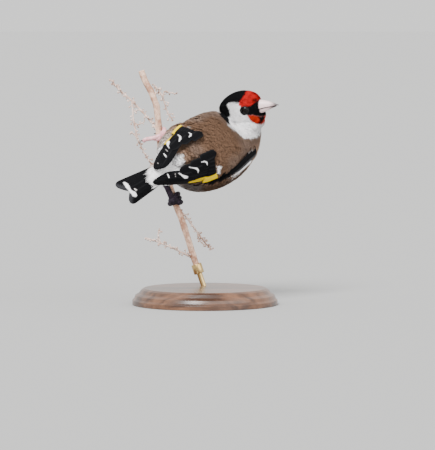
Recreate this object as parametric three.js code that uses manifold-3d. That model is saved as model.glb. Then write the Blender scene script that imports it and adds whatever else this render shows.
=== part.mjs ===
// A life-size European goldfinch clinging to a dry weed stem, held by a small museum stand.
// Millimetres, +Z up. The reference view looks along +Y, with +X to the right.
// The stand's base is centred on the origin, with its underside at Z = 0.
import * as THREE from "three";
import { mergeVertices } from "three/addons/utils/BufferGeometryUtils.js";
import Module from "manifold-3d";

const wasm = await Module();
wasm.setup();

// Driving sizes, shared by the whole model
const GAP = 0.3; // clearance between neighbouring pieces
const VANE_THICKNESS = 0.55;
const RIGHT = -1; // the bird's right side
const LEFT = 1;
const SIDE_NAMES = new Map([[LEFT, "left"], [RIGHT, "right"]]);

// Where the trunk and the head are, and how they are turned: heading from +X towards +Y,
// pitch nose up, and roll towards the bird's right, in degrees
const BODY_PLACE = { at: [-0.8, 0, 85.5], heading: 53, pitch: 16.6, roll: 57 };
const HEAD_PLACE = { at: [19.2, 11.0, 107.7], heading: -20, pitch: 4, roll: 12 };

// The trunk and neck, in the body's frame (x forwards, y left, z up the back). Each row is the
// section's centre x, y, z, then its half width, its height to the back and its depth to the belly.
const TRUNK = [
  [-32, 0, 2.0, 3.2, 2.8, 2.8],
  [-28, 0, 1.8, 10.2, 6.6, 7.6],
  [-20, -0.4, 1.0, 15.8, 12.0, 13.8],
  [-10, -1.8, 0, 19.4, 17.4, 18.8],
  [0, -2.5, 0, 20.9, 18.8, 20.8],
  [10, -2.7, 0.5, 20.6, 17.8, 20.6],
  [18, -2.6, 2.2, 19.0, 15.2, 18.6],
  [24, -2.2, 5.6, 16.2, 13.0, 15.6],
  [27.6, -0.8, 9.6, 12.6, 11.0, 12.6],
  [28.4, 2.4, 12.8, 10.4, 9.6, 10.4],
  [27.4, 6.0, 15.2, 7.6, 7.0, 7.6],
];
const TRUNK_RINGS = 22;
const TRUNK_SIDES = 24;

// The head in its own frame (x along the bill): centre x, centre z, half width, height, depth
const HEAD = [
  [-11.2, 0.2, 1.2, 1.0, 1.3],
  [-10.2, 0.2, 4.2, 3.2, 4.8],
  [-7.4, 0.2, 6.8, 6.0, 8.0],
  [-3.0, 0.2, 8.5, 8.4, 10.4],
  [1.5, 0.1, 8.7, 9.5, 11.0],
  [5.4, 0, 7.5, 9.5, 10.2],
  [8.8, -0.1, 6.2, 8.6, 8.4],
  [11.4, -0.2, 4.2, 6.7, 5.8],
  [12.6, -0.2, 1.8, 3.4, 2.6],
];
const HEAD_RINGS = 14;
const HEAD_SIDES = 22;
const HEAD_CUT = -5.2; // where the head meets the neck, along the head's own line to the trunk
const NECK_CUT = 17.0; // where the neck meets the trunk, in the body's frame

const EYE = { x: 5.2, y: 5.45, z: 0.1, radius: 2.7 };
const LID = { radius: 2.1, tube: 0.38, y: 7.45, turn: 16 };

// The bill: rows of x, half width, ridge height and edge height for the upper half,
// and x, half width, edge height and keel height for the lower half
const UPPER_BILL = [
  [9.6, 3.5, 4.3, -0.9],
  [12.0, 3.2, 4.0, -0.5],
  [15.5, 2.35, 3.25, 0.0],
  [19.0, 1.35, 2.1, 0.25],
  [21.6, 0.6, 1.05, 0.3],
  [22.9, 0.18, 0.45, 0.15],
];
const LOWER_BILL = [
  [9.6, 3.1, -1.2, -4.1],
  [12.0, 2.85, -0.8, -3.7],
  [15.5, 2.0, -0.3, -2.6],
  [19.0, 1.1, -0.05, -1.2],
  [21.5, 0.35, 0.0, -0.35],
];
const NOSTRIL = { x: 13.0, y: 2.35, z: 2.2, radius: 0.55 };

// The surface that the folded wings' feathers lie on, in the body's frame:
// x, then the section's centre y and z, its half width, height and depth
const WING_BED = [
  [26, -2.6, 6.0, 16.0, 13.2, 15.0],
  [18, -2.6, 2.0, 18.8, 15.4, 17.6],
  [10, -2.4, 0.6, 19.8, 17.4, 18.6],
  [0, -1.6, 0, 20.0, 18.0, 19.0],
  [-10, -0.9, 0.2, 17.8, 16.4, 17.0],
  [-20, -0.3, 1.0, 14.8, 12.8, 12.0],
  [-30, 0, 1.8, 12.2, 9.2, 7.5],
  [-40, 0, 2.2, 9.2, 5.8, 4.6],
  [-48, 0, 2.0, 6.8, 4.3, 3.6],
  [-57, 0, 1.8, 5.0, 3.1, 3.0],
];

// How each wing is folded: how many of its leading stations the plumage hides, where the outermost
// feather starts and how far it bows out, then the tips of each group as x along the body and angle
const WING_SET = new Map([
  [LEFT, {
    hidden: 4, outer: 59, bow: 11,
    primaryTips: [-47.5, -48.5, -48.5, -48, -47, -45.5, -43.5], primaryFan: [30, -4],
    secondaryTips: [-40.5, -34.5], secondaryFan: [32, 44],
    tertialTips: [[-33, 40], [-26.5, 33], [-21, 27]],
  }],
  [RIGHT, {
    hidden: 0, outer: 66, bow: 21,
    primaryTips: [-53.5, -55, -55, -54.5, -53, -50.5, -47.5], primaryFan: [36, 12],
    secondaryTips: [-44.5, -38], secondaryFan: [36, 44],
    tertialTips: [[-37.2, 37], [-30.2, 32], [-23, 26]],
  }],
]);

// A closed geometry as a solid that can be joined and cut, in the model's frame
function solid(geometry, place) {
  const bare = geometry.index ? geometry.toNonIndexed() : geometry.clone();
  bare.deleteAttribute("normal");
  bare.deleteAttribute("uv");
  if (place) bare.applyMatrix4(place);
  const merged = mergeVertices(bare, 1e-4);
  const vertProperties = merged.attributes.position.array;
  const triVerts = new Uint32Array(merged.index.array);
  const made = new wasm.Manifold(new wasm.Mesh({ numProp: 3, vertProperties, triVerts }));
  if (made.volume() > 0) return made;
  for (let i = 0; i < triVerts.length; i += 3) {
    [triVerts[i + 1], triVerts[i + 2]] = [triVerts[i + 2], triVerts[i + 1]];
  }
  return new wasm.Manifold(new wasm.Mesh({ numProp: 3, vertProperties, triVerts }));
}

// The largest closed body of a solid, so that loose scraps and sealed hollows go
function largest(made) {
  return made.decompose().reduce((a, b) => (b.volume() > a.volume() ? b : a));
}

function join(solids) {
  return solids.reduce((a, b) => a.add(b));
}

// A closed skin over a row of rings that have the same number of points.
// Each end is closed by a fan round the ring's middle.
function loft(rings) {
  const count = rings[0].length;
  const points = rings.flat();
  const middle = (ring) => ring.reduce((a, p) => a.add(p), new THREE.Vector3()).divideScalar(count);
  points.push(middle(rings[0]), middle(rings.at(-1)));
  const triangles = [];
  for (let i = 0; i + 1 < rings.length; i++) {
    for (let k = 0; k < count; k++) {
      const a = i * count + k;
      const b = i * count + ((k + 1) % count);
      triangles.push(a, b, b + count, a, b + count, a + count);
    }
  }
  const first = rings.length * count;
  const last = (rings.length - 1) * count;
  for (let k = 0; k < count; k++) {
    const next = (k + 1) % count;
    triangles.push(first, next, k, first + 1, last + k, last + next);
  }
  return meshOf(points, triangles);
}

function meshOf(points, triangles) {
  const geometry = new THREE.BufferGeometry().setFromPoints(points);
  geometry.setIndex(triangles);
  return geometry;
}

// Rows of numbers read as smooth curves over their first column: a cubic between two rows,
// with each row's slope taken from its neighbours
function along(rows, t) {
  const up = rows.at(-1)[0] > rows[0][0];
  const order = up ? rows : [...rows].reverse();
  const last = order.length - 1;
  let i = 0;
  while (i < last - 1 && t > order[i + 1][0]) i++;
  const slope = (j, c) => {
    const a = order[Math.max(j - 1, 0)];
    const b = order[Math.min(j + 1, last)];
    return (b[c] - a[c]) / (b[0] - a[0]);
  };
  const span = order[i + 1][0] - order[i][0];
  const s = Math.min(Math.max((t - order[i][0]) / span, 0), 1);
  const [s2, s3] = [s * s, s * s * s];
  return order[i].map((value, c) => {
    const next = order[i + 1][c];
    return value * (2 * s3 - 3 * s2 + 1) + next * (3 * s2 - 2 * s3)
      + span * ((s3 - 2 * s2 + s) * slope(i, c) + (s3 - s2) * slope(i + 1, c));
  });
}

// The turn of a frame with x along heading and pitch, and z rolled to its right
function placeMatrix({ at, heading, pitch, roll }) {
  const [h, p, r] = [heading, pitch, roll].map(THREE.MathUtils.degToRad);
  const forward = new THREE.Vector3(Math.cos(p) * Math.cos(h), Math.cos(p) * Math.sin(h), Math.sin(p));
  const level = new THREE.Vector3(-Math.sin(h), Math.cos(h), 0);
  const upright = new THREE.Vector3().crossVectors(forward, level);
  const up = upright.multiplyScalar(Math.cos(r)).addScaledVector(level, -Math.sin(r));
  const left = new THREE.Vector3().crossVectors(up, forward);
  return new THREE.Matrix4().makeBasis(forward, left, up).setPosition(...at);
}

const BODY = placeMatrix(BODY_PLACE);
const SKULL = placeMatrix(HEAD_PLACE);

// The trunk and neck as one form, swollen by a margin. Sections stand across the line of centres.
function trunkGeometry(margin = 0) {
  const keyed = TRUNK.map((row, i) => [i, ...row]);
  const rings = [];
  for (let i = 0; i < TRUNK_RINGS; i++) {
    const t = ((TRUNK.length - 1) * i) / (TRUNK_RINGS - 1);
    const [, x, y, z, half, height, depth] = along(keyed, t);
    const [, xa, ya, za] = along(keyed, Math.max(t - 0.2, 0));
    const [, xb, yb, zb] = along(keyed, Math.min(t + 0.2, TRUNK.length - 1));
    const forward = new THREE.Vector3(xb - xa, yb - ya, zb - za).normalize();
    const side = new THREE.Vector3(0, 0, 1).cross(forward).normalize();
    const up = new THREE.Vector3().crossVectors(forward, side);
    const centre = new THREE.Vector3(x, y, z);
    rings.push(Array.from({ length: TRUNK_SIDES }, (_, k) => {
      const angle = (2 * Math.PI * k) / TRUNK_SIDES;
      const rise = Math.cos(angle) > 0 ? height : depth;
      return centre.clone()
        .addScaledVector(side, (half + margin) * Math.sin(angle))
        .addScaledVector(up, (rise + margin) * Math.cos(angle));
    }));
  }
  return loft(rings);
}

function headGeometry(margin = 0) {
  const rings = [];
  const [from, to] = [HEAD[0][0] - margin, HEAD.at(-1)[0] + margin];
  for (let i = 0; i < HEAD_RINGS; i++) {
    const share = (1 - Math.cos((Math.PI * i) / (HEAD_RINGS - 1))) / 2;
    const x = from + (to - from) * share;
    const [, z, half, height, depth] = along(HEAD, x);
    rings.push(Array.from({ length: HEAD_SIDES }, (_, k) => {
      const angle = (2 * Math.PI * k) / HEAD_SIDES;
      const rise = Math.cos(angle) > 0 ? height : depth;
      return new THREE.Vector3(x, (half + margin) * Math.sin(angle), z + (rise + margin) * Math.cos(angle));
    }));
  }
  return loft(rings);
}

// A point on a wing's bed: x along the body, angle from the middle of the back, and height above it
function bedPoint(side, x, angle, height) {
  const [, y, z, half, up, down] = along(WING_BED, x);
  const turn = THREE.MathUtils.degToRad(angle);
  const rise = Math.cos(turn) > 0 ? up : down;
  return new THREE.Vector3(x, y + side * (half + height) * Math.sin(turn), z + (rise + height) * Math.cos(turn));
}

// The angle that a distance across a wing spans at a station of its bed, in degrees
function bedAngle(x, distance) {
  const [, , , half, up] = along(WING_BED, x);
  return THREE.MathUtils.radToDeg((2 * distance) / (half + up));
}

// A thin plate from a grid of upper points and a grid of lower points, split alike on both faces
function plate(upper, lower) {
  const [rows, columns] = [upper.length, upper[0].length];
  const points = [...upper.flat(), ...lower.flat()];
  const under = rows * columns;
  const triangles = [];
  const strip = (a, b) => triangles.push(a, b, b + under, a, b + under, a + under);
  for (let i = 0; i + 1 < rows; i++) {
    for (let k = 0; k + 1 < columns; k++) {
      const a = i * columns + k;
      const [b, c, d] = [a + 1, a + columns + 1, a + columns];
      triangles.push(a, c, b, a, d, c);
      triangles.push(under + a, under + b, under + c, under + a, under + c, under + d);
    }
    strip((i + 1) * columns, i * columns);
    strip((i + 1) * columns - 1, (i + 2) * columns - 1);
  }
  for (let k = 0; k + 1 < columns; k++) {
    strip(k, k + 1);
    strip((rows - 1) * columns + k + 1, (rows - 1) * columns + k);
  }
  return meshOf(points, triangles);
}

// The half width of a feather at a share of its length, with a round or a narrow tip
function outline(share, widest, narrow) {
  const root = 0.55 + 0.45 * Math.min(share / 0.35, 1);
  const start = narrow ? 0.55 : 0.78;
  const end = share <= start ? 1 : Math.sqrt(Math.max(1 - ((share - start) / (1 - start)) ** 2, 0));
  return widest * root * Math.max(end, 0.1);
}

const FEATHER_STEP = 9; // length between a feather's sections, shared by all that overlap

// One flight feather or covert on the wing's bed, from its root to its tip
function wingVane(side, { root, tip, widest, lift, bow = 0, narrow = false }) {
  const [x0, a0] = root;
  const [x1, a1] = tip;
  const stations = [x0];
  for (let x = Math.floor((x0 - 1) / FEATHER_STEP) * FEATHER_STEP; x > x1 + 4; x -= FEATHER_STEP) stations.push(x);
  stations.push(x1 + 2.2, x1);
  const upper = [];
  const lower = [];
  for (const x of stations) {
    const share = (x0 - x) / (x0 - x1);
    const middle = a0 + (a1 - a0) * share + bow * 4 * share * (1 - share);
    const spread = bedAngle(x, outline(share, widest, narrow));
    const thin = x === x1 ? 0.7 : 1;
    const row = (height) => [-1, 0, 1].map((k) => bedPoint(side, x, middle + k * spread,
      height + (k === 0 ? 0.12 : 0)));
    upper.push(row(lift + VANE_THICKNESS * thin));
    lower.push(row(lift));
  }
  return solid(plate(upper, lower), BODY);
}

// Spreads a feather group's values evenly from the first to the last
const spaced = (first, last, i, count) => first + ((last - first) * i) / (count - 1);

// Every feather of a folded wing, outermost and lowest first
function wingFeathers(side) {
  const feathers = [];
  const { outer, bow, primaryTips, primaryFan, secondaryTips, secondaryFan, tertialTips } = WING_SET.get(side);
  primaryTips.forEach((x, i) => feathers.push({
    root: [-12, spaced(outer, outer - 9, i, 7)], tip: [x, spaced(...primaryFan, i, 7)],
    bow: bow * spaced(1, 0.57, i, 7), widest: 2.6, lift: 0.1 + 0.17 * i, narrow: true,
  }));
  for (let i = 0; i < 4; i++) feathers.push({
    root: [-13, spaced(outer - 6, outer - 20, i, 4)], tip: [spaced(...secondaryTips, i, 4), spaced(...secondaryFan, i, 4)],
    bow: 6, widest: 2.8, lift: 1.2 + 0.18 * i,
  });
  tertialTips.forEach(([x, angle], i) => feathers.push({
    root: [-15, spaced(42, 25, i, 3)], tip: [x, angle], widest: 3.5, lift: 1.8 + 0.32 * i,
  }));
  for (let i = 0; i < 4; i++) feathers.push({
    root: [-10.5, spaced(outer + 4, 44, i, 4)], tip: [spaced(-18, -22, i, 4), spaced(outer + 2, 42, i, 4)],
    widest: 3.1, lift: 1.6 + 0.22 * i,
  });
  if (side === RIGHT) {
    for (let i = 0; i < 3; i++) feathers.push({
      root: [20 - 7 * i, 54 + 5 * i], tip: [8 - 7 * i, 62 + 5 * i],
      widest: 2.0, lift: 1.0 + 0.32 * (2 - i), narrow: true,
    });
  }
  return feathers;
}

// The pocket in the plumage that a wing lies in: x along the body, its upper and lower edge angles,
// and the thickness there of the firm part of the wing that the feathers grow from
const POCKET = [
  [21, 49, 58, 0.9], [14, 54, 64, 1.2], [7, 59, 70, 1.4], [0, 64, 76, 1.6], [-8, 69, 82, 1.8],
  [-12, 54, 82, 1.9], [-15, 34, 83, 1.9], [-18, 18, 84, 1.8], [-23, 13, 86, 1.2], [-30, 11, 88, 0], [-38, 9, 88, 0],
];
const POCKET_COLUMNS = 9;

// A slab on the wing's bed from rows of the pocket, drawn in from its edges
function bedSlab(side, rows, inset, floor, roof) {
  const upper = [];
  const lower = [];
  rows.forEach(([x, high, low, thickness], row) => {
    const margin = bedAngle(x, inset);
    const span = low - high - 2 * margin;
    const angles = Array.from({ length: POCKET_COLUMNS + 1 }, (_, k) => high + margin + (span * k) / POCKET_COLUMNS);
    const station = row === 0 ? x - inset : x;
    upper.push(angles.map((angle) => bedPoint(side, station, angle, roof ?? thickness)));
    lower.push(angles.map((angle) => bedPoint(side, station, angle, floor)));
  });
  return solid(plate(upper, lower), BODY);
}

const pocketRows = (side) => POCKET.slice(WING_SET.get(side).hidden);
const wingPocket = (side) => bedSlab(side, pocketRows(side), 0, -GAP, 9);
const wingRoom = (side) => bedSlab(side, pocketRows(side), 2 * GAP, 0, 9);
const wingCore = (side) => bedSlab(side, pocketRows(side).filter((row) => row[3] > 0), 3 * GAP, 0.05);

function wing(side) {
  const vanes = wingFeathers(side).map((feather) => wingVane(side, feather));
  return join([wingCore(side), ...vanes]);
}

// The tail: pairs of feathers on a nearly flat bed, the middle pair on top
const TAIL = {
  rootX: -27, tipX: -76.5, further: 2, notchX: -74.3, drift: -1.3, pairs: 6, halfFeather: 2.8, fan: 3.1,
  z: 1.2, lifted: 2.2, crown: 0.02, step: 0.24,
};

function tailPoint(x, y, height) {
  const back = (TAIL.rootX - x) / (TAIL.rootX - TAIL.tipX);
  return new THREE.Vector3(x, y, TAIL.z + TAIL.lifted * back - TAIL.crown * y * y + height);
}

function tailVane(side, pair) {
  const out = pair / (TAIL.pairs - 1);
  const outerTip = TAIL.tipX - (side === LEFT ? TAIL.further : 0);
  const tipX = outerTip + (TAIL.notchX - outerTip) * (1 - out) ** 1.3;
  const [rootY, tipY] = [0.9 + 1.5 * out, 1.4 + TAIL.fan * out + side * TAIL.drift * (1 - out)];
  const lift = TAIL.step * (TAIL.pairs - 1 - pair);
  const stations = [TAIL.rootX, -38, -50, -62, tipX + 4.5, tipX + 1.6, tipX];
  const upper = [];
  const lower = [];
  for (const x of stations) {
    const share = (TAIL.rootX - x) / (TAIL.rootX - tipX);
    const middle = side * (rootY + (tipY - rootY) * share);
    const end = share < 0.9 ? 1 : Math.sqrt(Math.max(1 - ((share - 0.9) / 0.1) ** 2, 0.04));
    const half = TAIL.halfFeather * (0.62 + 0.38 * share) * end;
    const row = (height) => [-1, 0, 1].map((k) => tailPoint(x, middle + k * side * half, height + (k === 0 ? 0.1 : 0)));
    upper.push(row(lift + VANE_THICKNESS));
    lower.push(row(lift));
  }
  return solid(plate(upper, lower), BODY);
}

// The white feathers of the rump that lie over the root of the tail
function rumpVane(i, count) {
  const y = spaced(-2.4, 3.2, i, count);
  const tipX = -58.5 + 0.5 * (y + 0.7) ** 2;
  const stations = [-27, -34, -42, tipX + 4, tipX];
  const upper = [];
  const lower = [];
  const lift = 1.85 + 0.06 * (count - Math.abs(2 * i - count + 1)) / 2;
  for (const x of stations) {
    const share = (-27 - x) / (-27 - tipX);
    const half = 2.1 * (share < 0.8 ? 1 : 0.5);
    const rise = 2.4 * (1 - share) ** 1.5;
    const row = (height) => [-1, 0, 1].map((k) => tailPoint(x, y + k * half, height + rise));
    upper.push(row(lift + VANE_THICKNESS));
    lower.push(row(lift - 0.4));
  }
  return solid(plate(upper, lower), BODY);
}

function tailSolid() {
  const vanes = [];
  for (let pair = TAIL.pairs - 1; pair >= 0; pair--) vanes.push(tailVane(LEFT, pair), tailVane(RIGHT, pair));
  const root = new THREE.SphereGeometry(1, 16, 10).scale(9, 4.2, 2.4).translate(-29, 0, 2.6);
  const covers = Array.from({ length: 5 }, (_, i) => rumpVane(i, 5));
  return join([solid(root, BODY), ...vanes, ...covers]);
}

// A thin slab that parts the body across a direction, at a distance from a point
function parting(centre, direction, thickness = GAP) {
  const box = new THREE.BoxGeometry(80, 80, thickness);
  const turn = new THREE.Quaternion().setFromUnitVectors(new THREE.Vector3(0, 0, 1), direction.clone().normalize());
  return solid(box, new THREE.Matrix4().compose(centre, turn, new THREE.Vector3(1, 1, 1)));
}

// The bill: five-sided sections with a ridge, drawn along its rows
function billHalf(rows, upperHalf) {
  const rings = rows.map(([x, half, first, second]) => {
    const [ridge, edge] = upperHalf ? [first, second] : [second, first];
    const shoulder = edge + (ridge - edge) * 0.62;
    const low = edge + (ridge - edge) * 0.12;
    return [[0, ridge], [0.55, shoulder + (ridge - shoulder) * 0.62], [0.9, shoulder - (ridge - edge) * 0.12],
      [1, low], [0.9, edge], [0, edge], [-0.9, edge], [-1, low], [-0.9, shoulder - (ridge - edge) * 0.12],
      [-0.55, shoulder + (ridge - shoulder) * 0.62]].map(([y, z]) => new THREE.Vector3(x, y * half, z));
  });
  return loft(rings);
}

// A round tube along a path, with its own radius at each point
function tube(points, radii, sides = 8) {
  let normal = null;
  const rings = points.map((point, i) => {
    const before = points[Math.max(i - 1, 0)];
    const after = points[Math.min(i + 1, points.length - 1)];
    const tangent = after.clone().sub(before).normalize();
    if (!normal) normal = new THREE.Vector3(0.31, -0.9, 0.29);
    normal = normal.clone().addScaledVector(tangent, -normal.dot(tangent)).normalize();
    const across = new THREE.Vector3().crossVectors(tangent, normal);
    return Array.from({ length: sides }, (_, k) => {
      const angle = (2 * Math.PI * k) / sides;
      return point.clone().addScaledVector(normal, radii[i] * Math.cos(angle))
        .addScaledVector(across, radii[i] * Math.sin(angle));
    });
  });
  return loft(rings);
}

const vector = ([x, y, z]) => new THREE.Vector3(x, y, z);

// The dry stem: its line from the stand up to the cut top, and its radius
const STEM_LINE = [
  [-3.9, 15, 17.9], [-8.2, 15, 30.6], [-12.1, 15, 43.3], [-16.0, 14.7, 53.8], [-20.4, 15, 67.5],
  [-23.7, 15.4, 80.7], [-25.3, 15.5, 90.6], [-25.9, 15, 100.6], [-27.0, 15, 108.9], [-29.7, 15, 116.0],
  [-33.6, 15, 123.7], [-35.2, 15, 128.2],
].map(vector);
const STEM_RADIUS = 1.65;
const STEM_STEPS = 30;
const STEM_CURVE = new THREE.CatmullRomCurve3(STEM_LINE);

// The stem's middle and direction at a height
function stemAt(height) {
  let [low, high] = [0, 1];
  for (let i = 0; i < 40; i++) {
    const half = (low + high) / 2;
    if (STEM_CURVE.getPoint(half).z < height) low = half;
    else high = half;
  }
  return { point: STEM_CURVE.getPoint(low), along: STEM_CURVE.getTangent(low) };
}

function stemSolid(margin = 0) {
  const points = STEM_CURVE.getPoints(STEM_STEPS);
  const radii = points.map((p, i) => STEM_RADIUS * (1 + 0.06 * Math.sin(i * 2.3) + (i % 9 === 4 ? 0.14 : 0)) + margin);
  return solid(tube(points, radii, 8));
}

// Side twigs of the stem, each a list of branches: a radius and the points of its middle line
const TWIGS = {
  perch_twig_left: [
    [0.62, [-26.1, 15, 94.5], [-31.9, 16, 102.2], [-41.2, 17, 112.0], [-47.9, 18, 118.0], [-51.7, 18.5, 122.4]],
    [0.5, [-40.4, 17, 110.9], [-39.6, 16, 101.1], [-38.0, 15.5, 93.4], [-36.0, 15.5, 87.9], [-33.6, 16.5, 82.3],
      [-30.8, 18, 77.8], [-28.1, 19, 75.0]],
    [0.42, [-39.6, 16, 100.0], [-37.4, 17, 98.2], [-33.6, 18, 99.8]],
    [0.42, [-36.3, 15.5, 87.9], [-39.1, 14.5, 92.9], [-40.7, 14, 93.5]],
  ],
  perch_twig_top: [
    [0.55, [-27.8, 15, 113.3], [-26.4, 17, 118.1], [-23.4, 18, 113.1], [-20.9, 18.5, 105.3], [-17.6, 19, 100.3]],
    [0.42, [-23.1, 18, 113.1], [-22.6, 18, 116.4], [-19.2, 18.5, 115.8], [-15.4, 19, 115.2]],
    [0.42, [-26.4, 17, 118.1], [-28.1, 17.5, 120.3]],
  ],
  perch_twig_right: [
    [0.6, [-14.3, 15, 51.0], [-10.5, 17, 47.0], [-4.4, 18, 38.6], [0.0, 18.5, 32.5], [3.9, 19, 28.6]],
    [0.45, [-4.4, 18, 38.6], [-3.3, 18, 34.2], [0.6, 17, 30.4]],
  ],
  perch_twig_low: [
    [0.6, [-7.2, 15, 24.5], [-16.0, 13, 29.1], [-24.8, 12, 33.0], [-32.5, 12, 35.7]],
    [0.45, [-24.8, 12, 33.0], [-25.9, 11.5, 38.0], [-24.8, 11.5, 39.6]],
  ],
};

function twigSolid(branches) {
  return join(branches.map(([radius, ...line]) => {
    const points = new THREE.CatmullRomCurve3(line.map(vector)).getPoints(line.length * 2);
    return solid(tube(points, points.map((p, i) => radius * (1 - (0.45 * i) / (points.length - 1))), 5));
  }));
}

// The legs. Thigh and heel points are in millimetres; the foot holds the stem at a height.
// Each toe goes round the stem by a turn in degrees, rising along it, or reaches out to a point.
const LEGS = {
  left: {
    hip: [-16.6, 4.6, 85.0], heel: [-21.0, 11.4, 83.2], height: 93.0,
    toes: [{ turn: 150, rise: 2.6 }, { turn: 160, rise: 0.2 }, { reach: [-35.4, 13.6, 88.6] }, { turn: -105, rise: -2.4 }],
  },
  right: {
    hip: [-13.0, 2.4, 72.0], heel: [-21.6, 8.6, 65.6], height: 56.6,
    toes: [{ turn: 150, rise: 2.6 }, { turn: 160, rise: 0.2 }, { turn: 145, rise: -2.2 }, { turn: -105, rise: -1.2 }],
  },
};
const THIGH_RADII = [4.6, 4.0, 3.0, 2.1, 1.5];
const SHANK_RADIUS = 1.1;
const PAD_RADIUS = 1.7;
const TOE_RADIUS = 0.92;
const GRIP = STEM_RADIUS * 1.1 + GAP + TOE_RADIUS; // from the stem's middle to a toe's middle

// The foot's own directions on the stem: out towards the ankle, and across
function footFrame(leg) {
  const { point, along: up } = stemAt(leg.height);
  const out = vector(leg.heel).sub(point);
  out.addScaledVector(up, -out.dot(up)).normalize();
  return { point, up, out, across: new THREE.Vector3().crossVectors(up, out) };
}

function gripPoint(frame, degrees, rise, reach) {
  const turn = THREE.MathUtils.degToRad(degrees);
  return frame.point.clone().addScaledVector(frame.up, rise)
    .addScaledVector(frame.out, reach * Math.cos(turn)).addScaledVector(frame.across, reach * Math.sin(turn));
}

// The middle line of a toe and of its claw
function toeLines(leg, toe) {
  const frame = footFrame(leg);
  const start = gripPoint(frame, 0, 0, GRIP + 0.25);
  if (toe.reach) {
    const end = vector(toe.reach);
    const bend = gripPoint(frame, 75 * Math.sign(frame.across.dot(end.clone().sub(start))), -1.5, GRIP + 0.8);
    const knuckle = bend.clone().lerp(end, 0.66).add(new THREE.Vector3(0, -0.5, 0.7));
    const toeEnd = bend.clone().lerp(end, 0.82);
    const line = new THREE.CatmullRomCurve3([start, bend, knuckle, toeEnd]).getPoints(7);
    const clawMid = toeEnd.clone().lerp(end, 0.6).add(new THREE.Vector3(-0.4, -0.9, 0.8));
    const clawEnd = end.clone().add(new THREE.Vector3(-1.0, 0.6, -1.6));
    const claw = new THREE.CatmullRomCurve3([toeEnd, clawMid, clawEnd]).getPoints(4);
    return { line, claw };
  }
  const steps = 6;
  const at = (share) => gripPoint(frame, toe.turn * share, toe.rise * Math.min(1, share * 2.4), GRIP);
  const line = [start, ...Array.from({ length: steps }, (_, i) => at((i + 1.6) / (steps + 0.6)))];
  const claw = Array.from({ length: 5 }, (_, i) => gripPoint(frame, toe.turn + Math.sign(toe.turn) * 52 * (i / 4),
    toe.rise, GRIP + 0.35 * Math.sin((Math.PI * i) / 4) - (i === 4 ? 0.25 : 0)));
  return { line, claw };
}

function toeSolid(leg, toe, margin = 0) {
  const { line } = toeLines(leg, toe);
  const knuckles = line.map((p, i) => TOE_RADIUS * (1.08 - 0.28 * (i / (line.length - 1)) + (i % 3 === 2 ? 0.1 : 0)));
  return solid(tube(line, knuckles.map((radius) => radius + margin), 7));
}

function clawSolid(leg, toe) {
  const { claw } = toeLines(leg, toe);
  const radii = claw.map((p, i) => 0.5 - 0.37 * (i / (claw.length - 1)));
  return solid(tube(claw, radii, 6));
}

const ball = (centre, radius) => solid(new THREE.SphereGeometry(radius, 10, 7).translate(...centre.toArray()));

const materials = {
  brown: new THREE.MeshStandardMaterial({ color: 0x8a6a50, roughness: 0.9 }),
  black: new THREE.MeshStandardMaterial({ color: 0x111216, roughness: 0.6 }),
  bill: new THREE.MeshStandardMaterial({ color: 0xe6d8d2, roughness: 0.45 }),
  eye: new THREE.MeshStandardMaterial({ color: 0x0a0706, roughness: 0.1 }),
  skin: new THREE.MeshStandardMaterial({ color: 0xc89a8c, roughness: 0.6 }),
  bark: new THREE.MeshStandardMaterial({ color: 0xb89a80, roughness: 0.9 }),
  wood: new THREE.MeshStandardMaterial({ color: 0x4a2c1a, roughness: 0.4 }),
  brass: new THREE.MeshStandardMaterial({ color: 0xb08d4a, roughness: 0.3, metalness: 1 }),
};

const goldfinch = new THREE.Group();
const body = new THREE.Group();
const skull = new THREE.Group();
const legs = new THREE.Group();
const perch = new THREE.Group();
const stand = new THREE.Group();
goldfinch.add(body, skull, legs, perch, stand);

// A solid's surface as a geometry with its nearly equal points made one
function settled(made) {
  const { vertProperties, triVerts, numProp, numVert } = made.getMesh();
  const positions = new Float32Array(numVert * 3);
  for (let i = 0; i < numVert; i++) positions.set(vertProperties.subarray(i * numProp, i * numProp + 3), 3 * i);
  const geometry = new THREE.BufferGeometry().setAttribute("position", new THREE.BufferAttribute(positions, 3));
  geometry.setIndex(new THREE.BufferAttribute(triVerts, 1));
  return mergeVertices(geometry, 1e-3);
}

const FINEST = 0.01; // detail smaller than this is dropped

// Adds a solid's largest closed body to a group as a named mesh
function add(group, name, made, material) {
  const geometry = settled(largest(solid(settled(largest(made).simplify(FINEST)))).simplify(FINEST));
  geometry.computeVertexNormals();
  const mesh = new THREE.Mesh(geometry, material);
  mesh.name = name;
  group.add(mesh);
}

// Flesh: trunk, neck and head are one form, parted by two thin cuts
const eyeball = (side, margin) => new THREE.SphereGeometry(EYE.radius + margin, 16, 10)
  .translate(EYE.x, side * EYE.y, EYE.z);
function lid(side) {
  const ring = new THREE.TorusGeometry(LID.radius, LID.tube, 6, 16);
  ring.rotateX(Math.PI / 2).rotateZ(THREE.MathUtils.degToRad(-side * LID.turn));
  return ring.translate(EYE.x, side * LID.y, EYE.z);
}
const sides = [LEFT, RIGHT];
const headPoint = (x, y, z) => new THREE.Vector3(x, y, z).applyMatrix4(SKULL);
const bodyPoint = (x, y, z) => new THREE.Vector3(x, y, z).applyMatrix4(BODY);
const neckLine = headPoint(0, 0, 0).sub(bodyPoint(12, 0, 0)).normalize();
const bodyForward = new THREE.Vector3(1, 0, 0).transformDirection(BODY);

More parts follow.
